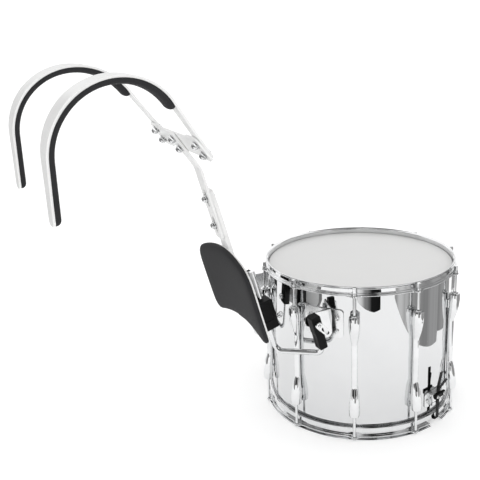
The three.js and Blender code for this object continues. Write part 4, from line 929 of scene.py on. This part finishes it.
def makeLever(here):
    s = strainer
    x, z, half, tab = s.pivotX, s.pivotZ, s.lever / 2, s.tab
    top = z + s.leverLength
    wide, inner = s.railGap + s.rail + 0.4, s.slideHalf
    axle = pin(s.axle, (x, -wide, z), (x, wide, z), 40, 0.6)
    hub = pin(s.hub, (x, -inner, z), (x, inner, z), 40, 0.5)
    outline = [(x - half, z), (x + half, z), (x + half, top - tab), (x + half + tab, top)]
    outline += [(x + tab, top + half), (x - half, top - tab + half)]
    blade = slab(outline, -s.leverHalf, s.leverHalf, "y", [(4, (2,)), (5, (5,)), (0.9, (3, 4))])
    for v in blade.verts:
        # the blade narrows a little towards its tab
        v.co.y *= 1 - s.leverTaper * max(0, (v.co.z - z) / s.leverLength)
    addPiece(joined(axle, hub, soften(blade, 0.9, 3, 50)), "strainerLever", here)


def makeKnob(here):
    s = strainer
    seat, wide, deep = s.railTop + seatGap, s.knob, s.knobDepth
    profile = [(0, seat), (wide - 1.6, seat), (wide - 0.7, seat + 0.5), (wide, seat + 1.4)]
    profile += [(wide, seat + deep - 1.4), (wide - 0.7, seat + deep - 0.4), (wide - 1.6, seat + deep)]
    knob = lathe(profile + [(0, seat + deep)], 120)
    for v in knob.verts:
        if hypot(v.co.x, v.co.y) > wide - 0.1:
            flute = 1 - s.fluteDepth * (0.5 + 0.5 * cos(s.flutes * atan2(v.co.y, v.co.x)))
            v.co.x *= flute
            v.co.y *= flute
    screw = disc(s.screw, 96, seat + 1, 24)
    addPiece(shifted(joined(knob, screw), x=s.knobX), "strainerKnob", here)


def makeStrainerStrap():
    # the upper end of the ribbon sits in the sliding clamp; the ribbon is baked in place and joined to
    # no body
    here, reach = around(snareAngle + 180), ribbon.reach
    path = ribbonPath(strainer.clampTop, reach)
    strap = soften(ribbonBody(path, (0, 0, -1), ribbon.width, ribbon.thick), 0.15, 1, 60)
    piece = dressed(strap, "strainerStrap", here, "ribbon")
    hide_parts("strainer_strap")
    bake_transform(piece)


makeSnareWires()
makeButt()
makeStrainer()
makeStrainerStrap()
print("snares, butt and throw-off made")

# Carrier brackets: a plate bent to the shell and an upright ear for the clamp bolt
bracket = Sizes(
    turn=36, half=36.3, bottom=203, top=257, plate=2.6, corner=7, earInner=114.7, earOuter=118.7,
    earRoot=205, earLength=52, nose=13, screwArc=24.8, screwLow=217, screwHigh=243, screw=3.8,
    bore=4.3,
)
pivot = Sizes(back=179.141, height=245.455, up=16)


def makeBracket(name, side):
    b, here = bracket, around(270 - side * bracket.turn)
    plate = shellPlate(b.half, b.bottom, b.top, b.plate, b.corner)
    addPiece(plate, "carrierBracket" + name, here, "satinChrome")
    x, z, nose = -pivot.back, pivot.height, b.nose
    outline = [(x + b.earLength, b.earRoot), (x + b.earLength, z + nose), (x, z + nose)]
    for k in range(1, 15):
        turn = radians(90 + 135 * k / 14)
        outline.append((x + nose * cos(turn), z + nose * sin(turn)))
    ear = soften(sideSlab(outline, side, b.earInner, b.earOuter), 0.7, 3, 40)
    core = shell.radius + seatGap + b.plate / 2
    bore = pin(b.bore, (x, side * (b.earInner - 3), z), (x, side * (b.earOuter + 3), z))
    ear = cut(ear, disc(core, 190, 280, 240), bore)
    addPiece(ear, "bracketEar" + name, onDrum, body="drum")
    heights = (b.screwLow, b.screwHigh)
    spots = [(arc, height) for arc in (-b.screwArc, b.screwArc) for height in heights]
    for number, (arc, height) in enumerate(spots, 1):
        screw = shellScrew(arc, height, b.screw, 2.2, b.plate)
        addPiece(screw, f"bracketScrew{name}{number}", here, body="drum")


# Black clamps on the rod ends, bored for rod and bolt
clamp = Sizes(
    near=124, far=141, upper=8.8, lower=7.8, top=31, bottom=-35, step=-4, corner=2.5, rodBore=5.3,
    boltBore=4.2, slit=1.4,
)


def makeClamp(name, side):
    c, y = clamp, side * clampPlace.side
    up, low, corner = c.upper, c.lower, c.corner
    outline = [(-up, c.top), (up, c.top), (up, c.step + corner), (low, c.step), (low, c.bottom)]
    outline += [(-low, c.bottom), (-low, c.step), (-up, c.step + corner)]
    body = sideSlab(outline, side, c.near, c.far, [(corner, (0, 1, 4, 5)), (1.5, (2, 3, 6, 7))])
    soften(body, 1.4, 3, 50)
    rodBore = pin(c.rodBore, (0, y, c.bottom - 5), (0, y, 6))
    across = [(0, side * (c.near - 3), pivot.up), (0, side * (c.far + 3), pivot.up)]
    # the slit lets the lower half close on the rod
    slit = shifted(bar(c.slit / 2, -low - 3, -3, c.bottom - 3, c.step - 4), y=y)
    body = cut(body, rodBore, pin(c.boltBore, *across), slit)
    addPiece(body, "rodClamp" + name, onCarrier, "blackPlastic")


# Loop levers that tighten the clamp bolts
loop = Sizes(
    hub=6.4, seat=141.3, end=147.3, length=32, round=5.8, slot=3.2, slotHalf=6.4, slotFrom=7.8,
    thick=4.2, angle=60, nutFace=114.4, spacer=6, shank=3.8, screw=3.4,
)


def makeClampLever(name, side):
    p, steps, outline = loop, 16, []
    centre = p.length - p.round
    for x, radius, start in ((0, p.hub, 90), (centre, p.round, -90)):
        for k in range(steps + 1):
            turn = radians(start + 180 * k / steps)
            outline.append((x + radius * cos(turn), radius * sin(turn)))
    arm = sideSlab(outline, side, p.end - p.thick, p.end)
    slot = moved(stadium(p.slot, p.slotHalf, 20), spin(90))
    arm = cut(arm, shifted(slot, x=p.slotFrom + p.slot + p.slotHalf, y=side * p.end))
    soften(arm, 1.1, 3, 50)
    moved(arm, spin(p.angle, "Y"))
    hub = pin(p.hub, (0, side * p.seat, 0), (0, side * (p.end + 0.8), 0), 40, 0.8)
    cap = screwHead(p.screw, 1.2, (0, side * (p.end + 0.7), 0), (0, side, 0))
    shank = pin(p.shank, (0, side * (p.nutFace - 3), 0), (0, side * p.end, 0))
    nut = hexNut(bolt.nutRadius, 0, bolt.nut)
    turned(nut, (0, side * p.nutFace, 0), (0, side * (p.nutFace - bolt.nut), 0))
    between = [(0, side * (bracket.earOuter + seatGap), 0), (0, side * (clamp.near - 0.1), 0)]
    spacer = pin(p.spacer, *between, 40, 0.6)
    whole = shifted(joined(arm, hub, cap, shank, nut, spacer), z=pivot.up)
    addPiece(whole, "clampLever" + name, onCarrier)


# Bent rods from the clamps, under the lugs and up through the carrier blocks
jRod = Sizes(radius=5, tip=4.6, low=-48.5, backLow=-57, side=40, back=-51, top=115, bend=14)


def makeJRod(name, side):
    j, wide = jRod, side * clampPlace.side
    corners = [(0, wide, j.tip), (0, wide, j.low), (j.back, side * j.side, j.backLow)]
    corners.append((j.back, side * j.side, j.top))
    bent = soften(roundBar(roundedPath(corners, j.bend, 14), j.radius), 1, 3, 50)
    addPiece(bent, "jRod" + name, onCarrier)


# Black blocks on the belly plate, with chrome guide plates and thumb screws
blockSizes = Sizes(
    back=-70.9, front=-35, bottom=-4, top=55, near=28, far=54, chamfer=3.5, screwHeight=9,
)
guide = Sizes(depth=24, bottom=55.3, rise=58, corner=12, near=28.6, far=31.6, rivet=4.4)
thumb = Sizes(
    shank=3, tip=-45.6, seat=-34.7, collar=4.4, reach=11, paddle=6.5, thick=3.2, dish=9,
    dishDepth=0.7,
)


def makeBlock(name, side):
    b, j = blockSizes, jRod
    x, y, level = j.back, side * j.side, b.screwHeight
    outline = rectangle(b.back, b.bottom, b.front, b.top)
    body = soften(sideSlab(outline, side, b.near, b.far, [(b.chamfer, (1, 2))]), 1.6, 3, 50)
    rodBore = pin(j.radius + 0.35, (x, y, b.bottom - 5), (x, y, b.top + 5))
    screwBore = pin(thumb.shank + 0.4, (x, y, level), (b.front + 5, y, level))
    # shallow moulded pocket on the outer face
    pocket = shifted(bar(1, b.back + 7, b.front - 7, b.bottom + 18, b.top - 7, 0.6), y=side * b.far)
    addPiece(cut(body, rodBore, screwBore, pocket), "rodBlock" + name, onCarrier, "blackPlastic")


def makeGuide(name, side):
    g, back = guide, blockSizes.back
    top, front = g.bottom + g.rise, back + g.depth
    outline = rectangle(back, g.bottom, front, top)
    plate = sideSlab(outline, side, g.near, g.far, [(g.corner - 0.1, (2, 3))])
    spot = (back + g.depth * 0.42, side * (g.far - 0.2), g.bottom + g.rise * 0.42)
    rivet = screwHead(g.rivet, 2.2, spot, (0, side, 0))
    whole = joined(soften(plate, 0.6, 3, 50), rivet)
    addPiece(whole, "rodGuide" + name, onCarrier)


def makeThumbScrew(name, side):
    t = thumb
    y, z, centre = side * jRod.side, blockSizes.screwHeight, thumb.seat + thumb.reach
    shank = pin(t.shank, (t.tip, y, z), (centre, y, z))
    collar = pin(t.collar, (t.seat, y, z), (t.seat + 3, y, z), 32, 0.7)
    paddle = pin(t.paddle, (centre, y - t.thick / 2, z), (centre, y + t.thick / 2, z), 48, 0.9)
    for face in (-1, 1):
        dish = bmesh.new()
        bmesh.ops.create_uvsphere(dish, u_segments=32, v_segments=16, radius=t.dish)
        off = face * (t.thick / 2 + t.dish - t.dishDepth)
        paddle = cut(paddle, shifted(dish, centre, y + off, z))
    addPiece(joined(shank, collar, paddle), "thumbScrew" + name, onCarrier)


for name, side in sides.items():
    makeBracket(name, side)
    makeClamp(name, side)
    makeClampLever(name, side)
    makeJRod(name, side)
    makeBlock(name, side)
    makeGuide(name, side)
    makeThumbScrew(name, side)
print("brackets, clamps, rods and blocks made")

# Belly plate, bowed across, and its foam pad
belly = Sizes(
    face=-71.2, plate=3, half=108, top=163, cornerTop=140, bottom=19, cornerBottom=0, corner=22,
    bow=8.5,
)
bellyPad = Sizes(thick=13, over=1.5, blunt=5)


def bellyPoint(u, v, half, grow, setBack):
    y = half * sin(pi / 2 * u)
    share = abs(y) / belly.half
    into = max(0, abs(y) - (half - belly.corner))
    trim = belly.corner - sqrt(max(0, belly.corner ** 2 - into ** 2)) - grow
    top = belly.top - (belly.top - belly.cornerTop) * share ** 2 - trim
    bottom = belly.bottom - (belly.bottom - belly.cornerBottom) * share ** 2 + trim
    depth = belly.face - belly.bow * share ** 2 - setBack
    return Vector((depth, y, bottom + (top - bottom) * (1 + v) / 2))


def makeBellyPlate():
    def where(u, v):
        return bellyPoint(u, v, belly.half, 0, seatGap), Vector((-1, 0, 0))

    plate = sheetBody(72, 12, where, belly.plate)
    addPiece(soften(plate, 1, 3, 50), "bellyPlate", onCarrier, "whiteCoat")


def padShape(columns, rows, onBack, crown):
    # a closed pad: a flat back and a crowned face that meet along the rim
    parts = []
    for layer in (0, 1):
        bm = bmesh.new()
        bmesh.ops.create_grid(bm, x_segments=columns, y_segments=rows, size=1)
        for v in bm.verts:
            u, w = v.co.x, sin(pi / 2 * v.co.y)
            point, outward = onBack(u, w)
            rim = max(abs(u), abs(w)) > 0.9999
            v.co = point + outward * (crown(u, w) if layer and not rim else 0)
        parts.append(bm)
    return tidied(joined(*parts), 0.01)


def bluntCrown(share, blunt):
    return max(0, 1 - abs(share) ** blunt) ** (1 / blunt)


def addPad(bm, name, matrix):
    addPiece(bm, name, matrix, "foam", fold=80)


def makeBellyPad():
    half = belly.half + bellyPad.over
    behind = belly.plate + 2 * seatGap

    def onBack(u, w):
        return bellyPoint(u, w, half, bellyPad.over, behind), Vector((-1, 0, 0))

    def crown(u, w):
        across = sin(pi / 2 * u)
        rim = bluntCrown(across, bellyPad.blunt) * bluntCrown(w, bellyPad.blunt)
        return bellyPad.thick * rim * (0.86 + 0.14 * (1 - across ** 2) * (1 - w * w))

    addPad(padShape(96, 56, onBack, crown), "bellyPad", onCarrier)


# Spine bar on the belly plate and the slotted stem behind it
spine = Sizes(
    half=15, thick=8, bottom=14, top=276, taper=26, topHalf=9, rivets=(45.4, 118.8), rivet=4.6,
)
stem = Sizes(
    half=15, thick=4.5, bottom=182, topMargin=26, bend=30, travel=12, slot=4.4, endRound=7,
    bolts=Sizes(Lower=210, Upper=262),
)


def makeSpine():
    s, x = spine, belly.face
    outline = [(-s.half, s.bottom), (s.half, s.bottom), (s.half, s.top - s.taper)]
    outline += [(s.topHalf, s.top), (-s.topHalf, s.top), (-s.half, s.top - s.taper)]
    corners = [(4, (0, 1)), (5, (3, 4)), (9, (2, 5))]
    flat = soften(slab(outline, x, x + s.thick, "x", corners), 1.4, 3, 40)
    addPiece(flat, "lowerSpine", onCarrier, "whiteCoat")
    for name, height in zip(("Low", "High"), s.rivets):
        rivet = screwHead(s.rivet, 2.6, (x + s.thick - 0.1, 0, height), (1, 0, 0))
        addPiece(rivet, "spineRivet" + name, onCarrier, body="carrier_frame")


# Crest: the plane of the yoke and of the front legs of the arms
crest = Sizes(
    tilt=35, archBack=500, archHeight=588, archRadius=110, boltMiddle=95.75, boltPitch=10.75,
)
arm = Sizes(
    thick=4, frontLeg=118, backLeg=92, front=24, crown=50, tip=30, frontY=96, backY=140,
    splayStart=21.25, splayShare=0.72, widenShares=(0.12, 0.46), narrowShares=(0.6, 1), tipRound=9,
)
yoke = Sizes(
    thick=4, face=-2.3, half=111, lobe=25, waist=20, lobeWidth=46, corner=9, slot=4.4, slideIn=12,
    slideOut=4,
)
tilt = radians(crest.tilt)
crestNormal = Vector((cos(tilt), 0, sin(tilt)))
crestUp = Vector((-sin(tilt), 0, cos(tilt)))
archCentre = Vector((-crest.archBack, 0, crest.archHeight))
archFront = archCentre + crestNormal * crest.archRadius
crestOrigin = archFront - crestUp * crest.boltMiddle
onCrest = onDrum @ Matrix.Translation(crestOrigin) @ spin(-crest.tilt, "Y")
yokeBack = yoke.face - yoke.thick
stemNutFace = yokeBack - 2 * seatGap - stem.thick
boltRows = {"Lower": -crest.boltPitch, "Upper": crest.boltPitch}


def makeStem():
    toCarrier = carrierTurn.inverted()
    half = stem.thick / 2
    lowerX = belly.face - seatGap - half
    on = toCarrier @ (crestOrigin + crestNormal * (yokeBack - seatGap - half))
    up = (toCarrier.to_3x3() @ crestUp).normalized()
    bendPoint = on + up * ((lowerX - on.x) / up.x)
    path = roundedPath([(lowerX, 0, stem.bottom), bendPoint, on + up * stem.topMargin], stem.bend, 20)
    near, far = [], []
    for i, point in enumerate(path):
        along = (path[min(i + 1, len(path) - 1)] - path[max(i - 1, 0)]).normalized()
        off = Vector((along.z, 0, -along.x)) * half
        near.append(((point + off).x, (point + off).z))
        far.append(((point - off).x, (point - off).z))
    sheet = slab(near + far[::-1], -stem.half, stem.half, "y")
    ends = []
    for edge in sheet.edges:
        first, second = (v.co for v in edge.verts)
        if abs(first.y - second.y) < 0.01 and abs(edge.calc_length() - stem.thick) < 0.05:
            ends.append(edge)
    soften(bevel(sheet, ends, stem.endRound, 6), 0.9, 3, 50)
    for height in stem.bolts.values():
        slot = moved(stadium(stem.slot, stem.travel, 12), spin(90, "X"))
        sheet = cut(sheet, shifted(slot, x=lowerX, z=height))
    addPiece(sheet, "upperStem", onCarrier, "whiteCoat")
    headFace, nutFace = belly.face + spine.thick + 0.2, belly.face - stem.thick - 2 * seatGap
    for name, height in stem.bolts.items():
        node = "stem_bolt_" + name.lower()
        acornBolt("stemBolt" + name, 0, height, headFace, nutFace, onCarrier, "carrier_frame", node)


def makeYoke():
    y, corner = yoke, yoke.corner
    inner = y.half - y.lobeWidth
    right = [(inner - corner, -y.waist), (inner, -y.lobe), (y.half, -y.lobe), (y.half, y.lobe)]
    right += [(inner, y.lobe), (inner - corner, y.waist)]
    left = [(-a, -b) for a, b in right]
    corners = [(corner + 2, (2, 3, 8, 9)), (7, (1, 4, 7, 10)), (10, (0, 5, 6, 11))]
    plate = soften(slab(right + left, yokeBack, y.face, "x", corners), 0.9, 3, 50)
    reach = (y.slideIn + y.slideOut) / 2
    for side in (1, -1):
        for offset in boltRows.values():
            centre = side * (arm.frontY + (y.slideOut - y.slideIn) / 2)
            plate = cut(plate, shifted(stadium(y.slot, reach, 12), x=yokeBack, y=centre, z=offset))
    addPiece(plate, "yokePlate", onCrest, "whiteCoat", node="yoke")
    for name, offset in boltRows.items():
        acornBolt("yokeBolt" + name, 0, offset, y.face, stemNutFace, onCrest, "crest")


def smooth(value, low, high):
    share = min(1, max(0, (value - low) / (high - low)))
    return share * share * (3 - 2 * share)


def armPlace(side, length):
    # point, face normal, width and whole length, at a length from the front end of an arm
    a, radius = arm, crest.archRadius
    archLength = radius * (pi - tilt)
    total = a.frontLeg + archLength + a.backLeg
    onArch = min(max(length - a.frontLeg, 0), archLength)
    turn = tilt + onArch / radius
    normal = Vector((cos(turn), 0, sin(turn)))
    along = Vector((-normal.z, 0, normal.x))
    point = archCentre + normal * radius + along * (length - a.frontLeg - onArch)
    splayed = min(1, max(0, length - a.splayStart) / (total * a.splayShare))
    point.y = side * (a.frontY + (a.backY - a.frontY) * sin(pi / 2 * splayed))
    width = a.front + (a.crown - a.front) * smooth(length / total, *a.widenShares)
    width += (a.tip - a.crown) * smooth(length / total, *a.narrowShares)
    return point, normal, width, total


def endTrim(fromEnd, radius):
    return radius - sqrt(max(0, radius ** 2 - max(0, radius - fromEnd) ** 2))


def makeArm(name, side):
    total = armPlace(side, 0)[3]

    def where(u, v):
        length = total * (1 + sin(pi / 2 * u)) / 2
        point, normal, width, _ = armPlace(side, length)
        half = width / 2 - endTrim(min(length, total - length), arm.tipRound)
        return point + Vector((0, half * v, 0)) - normal * arm.thick / 2, normal

    strip = soften(sheetBody(240, 8, where, arm.thick), 1.1, 3, 50)
    addPiece(strip, "shoulderArm" + name, onDrum, "whiteCoat")
    for label, offset in boltRows.items():
        acornBolt("armBolt" + name + label, side * arm.frontY, offset, arm.thick / 2,
                  yokeBack - seatGap, onCrest, name.lower() + "_arm")


# Foam pads along the inside of the arms
armPad = Sizes(start=108, thick=10, over=1, blunt=4, round=12)


def makeArmPad(name, side):
    total, start = armPlace(side, 0)[3], armPad.start
    span = total - start

    def fromEnd(u):
        return (1 - abs(sin(pi / 2 * u))) * span / 2

    def onBack(u, w):
        length = start + span * (1 + sin(pi / 2 * u)) / 2
        point, normal, width, _ = armPlace(side, length)
        half = width / 2 + armPad.over - endTrim(fromEnd(u), armPad.round)
        return point + Vector((0, half * w, 0)) - normal * (arm.thick / 2 + seatGap), -normal

    def crown(u, w):
        end = bluntCrown(max(0, 1 - fromEnd(u) / armPad.round), 2.5)
        return armPad.thick * end * bluntCrown(w, armPad.blunt) * (0.88 + 0.12 * (1 - w * w))

    addPad(padShape(150, 28, onBack, crown), "armPad" + name, onDrum)


makeBellyPlate()
makeBellyPad()
makeSpine()
makeStem()
makeYoke()
for name, side in sides.items():
    makeArm(name, side)
    makeArmPad(name, side)
print("belly plate, stem, yoke, arms and pads made")

# Studio: pale floor, white tent, soft lights, and standing boards that only the chrome mirrors
studio = Sizes(floor=100, light=1.25, key=6, fill=3)
# each board: its tone at two places along x, its height, and its outline on the floor
boards = {
    "rightBoard": ((90, 0.55), (330, 0.34), 900, [
        (83, -855), (149, -706), (207, -575), (253, -476), (305, -397), (356, -317), (414, -235),
        (474, -238), (498, -116), (682, 106), (900, 60), (900, -900)]),
    "centreBoard": ((-480, 0.75), (-270, 0.01), 1500, [
        (-510, -707), (-161, -852), (-145, -777), (-228, -739), (-355, -712), (-486, -693)]),
    "leftBoard": ((-800, 0.2), (-600, 0.35), 900, [
        (-647, 543), (-620, 410), (-681, 286), (-744, 118), (-745, -141), (-805, -220), (-864, -232),
        (-1300, -200), (-1300, 600)]),
}
gaps = Sizes(
    near=270, far=5000, height=3, tone=0.03, spans=Sizes(rightGap=(-8, 9), leftGap=(104, 121)),
)
room = Sizes(radius=5000, deep=200, height=4000, tone=0.03, start=-200, end=-50, steps=24)


def onCircle(radius, angle):
    turn = radians(angle)
    return radius * cos(turn), radius * sin(turn)


for name, (first, last) in gaps.spans.items():
    corners = rectangle(gaps.near, first, gaps.far, last)
    boards[name] = ((0, gaps.tone), (1, gaps.tone), gaps.height, [onCircle(*c) for c in corners])
wall = []
for radius, order in ((room.radius, 1), (room.radius + room.deep, -1)):
    for k in range(room.steps + 1)[::order]:
        wall.append(onCircle(radius, room.start + (room.end - room.start) * k / room.steps))
boards["roomBoard"] = ((0, room.tone), (1, room.tone), room.height, wall)


def makeFloor():
    bm = bmesh.new()
    bmesh.ops.create_grid(bm, x_segments=1, y_segments=1, size=studio.floor)
    floor = asObject(bm, "floor")
    floor.data.materials.append(grainFinish(
        "paleFloor", (0.93, 0.93, 0.93), (0.96, 0.96, 0.96), (0.65, 0.75), 0.02, 0.0001, 400, 1.5, 0.5,
        Specular_IOR_Level=0.1, Emission_Color=(1, 1, 1, 1), Emission_Strength=0.26,
    ))


def makeBoard(name, low, high, height, outline):
    bm = bmesh.new()
    bm.faces.new([bm.verts.new((x, y, 1.5)) for x, y in outline])
    board = asObject(moved(tidied(raised(bm, height)), onDrum), name)
    material, nodes, shader = newMaterial(name, Specular_IOR_Level=0, Emission_Strength=1)
    place = coordinates(nodes)
    parts = addNode(nodes, "SeparateXYZ", {0: place})
    ends = [drumAxis.x + spot / 1000 for spot, _ in (low, high)]
    tone = remap(nodes, (parts, "X"), *ends, low[1], high[1])
    # upright streaks, as of curtains or stands
    upright = (addNode(nodes, "Mapping", {"Vector": place, "Scale": (1, 1, 0)}), "Vector")
    streaks = remap(nodes, noise(nodes, upright, 9.0, 3.0), 0.35, 0.65, 0.72, 1.35)
    glow = combine(nodes, "MULTIPLY", tone, streaks)
    fill(shader, {"Base Color": (0, 0, 0, 1), "Emission Color": glow})
    board.data.materials.append(material)
    board.visible_camera = False
    board.visible_diffuse = False
    board.visible_shadow = False


def addLight(name, place, size, power):
    data = bpy.data.lights.new(name, "AREA")
    data.shape = "DISK"
    data.size = size
    data.energy = power
    lamp = linked(name, data)
    aim = (Vector((0, 0, 0.3)) - Vector(place)).to_track_quat("-Z", "Y")
    lamp.matrix_world = Matrix.Translation(place) @ aim.to_matrix().to_4x4()


def makeWorld():
    # a white tent with a greyer band over the horizon and a dark gap overhead, for the chrome
    world = bpy.data.worlds.new("studio")
    world.use_nodes = True
    nodes = world.node_tree.nodes
    parts = addNode(nodes, "SeparateXYZ", {0: coordinates(nodes, "Generated")})
    height = remap(nodes, (parts, "Z"), -1.0, 1.0, 0.0, 1.0)
    ramp = addNode(nodes, "ValToRGB", {"Fac": height})
    bands = [(0.0, 1), (0.52, 1), (0.56, 0.55), (0.66, 1), (0.9, 1), (0.95, 0.2), (1.0, 0.2)]
    while len(ramp.color_ramp.elements) < len(bands):
        ramp.color_ramp.elements.new(1.0)
    for element, (spot, shade) in zip(ramp.color_ramp.elements, bands):
        element.position = spot
        element.color = (shade, shade, shade, 1)
    fill(nodes["Background"], {"Color": (ramp, "Color"), "Strength": studio.light})
    bpy.context.scene.world = world


makeFloor()
for name, sizes in boards.items():
    makeBoard(name, *sizes)
makeWorld()
addLight("keyLight", (-1.6, -1.8, 2.6), 1.6, studio.key)
addLight("fillLight", (2.2, -0.8, 1.8), 1.4, studio.fill)
bpy.context.scene.view_settings.view_transform = "Standard"
print("studio set")
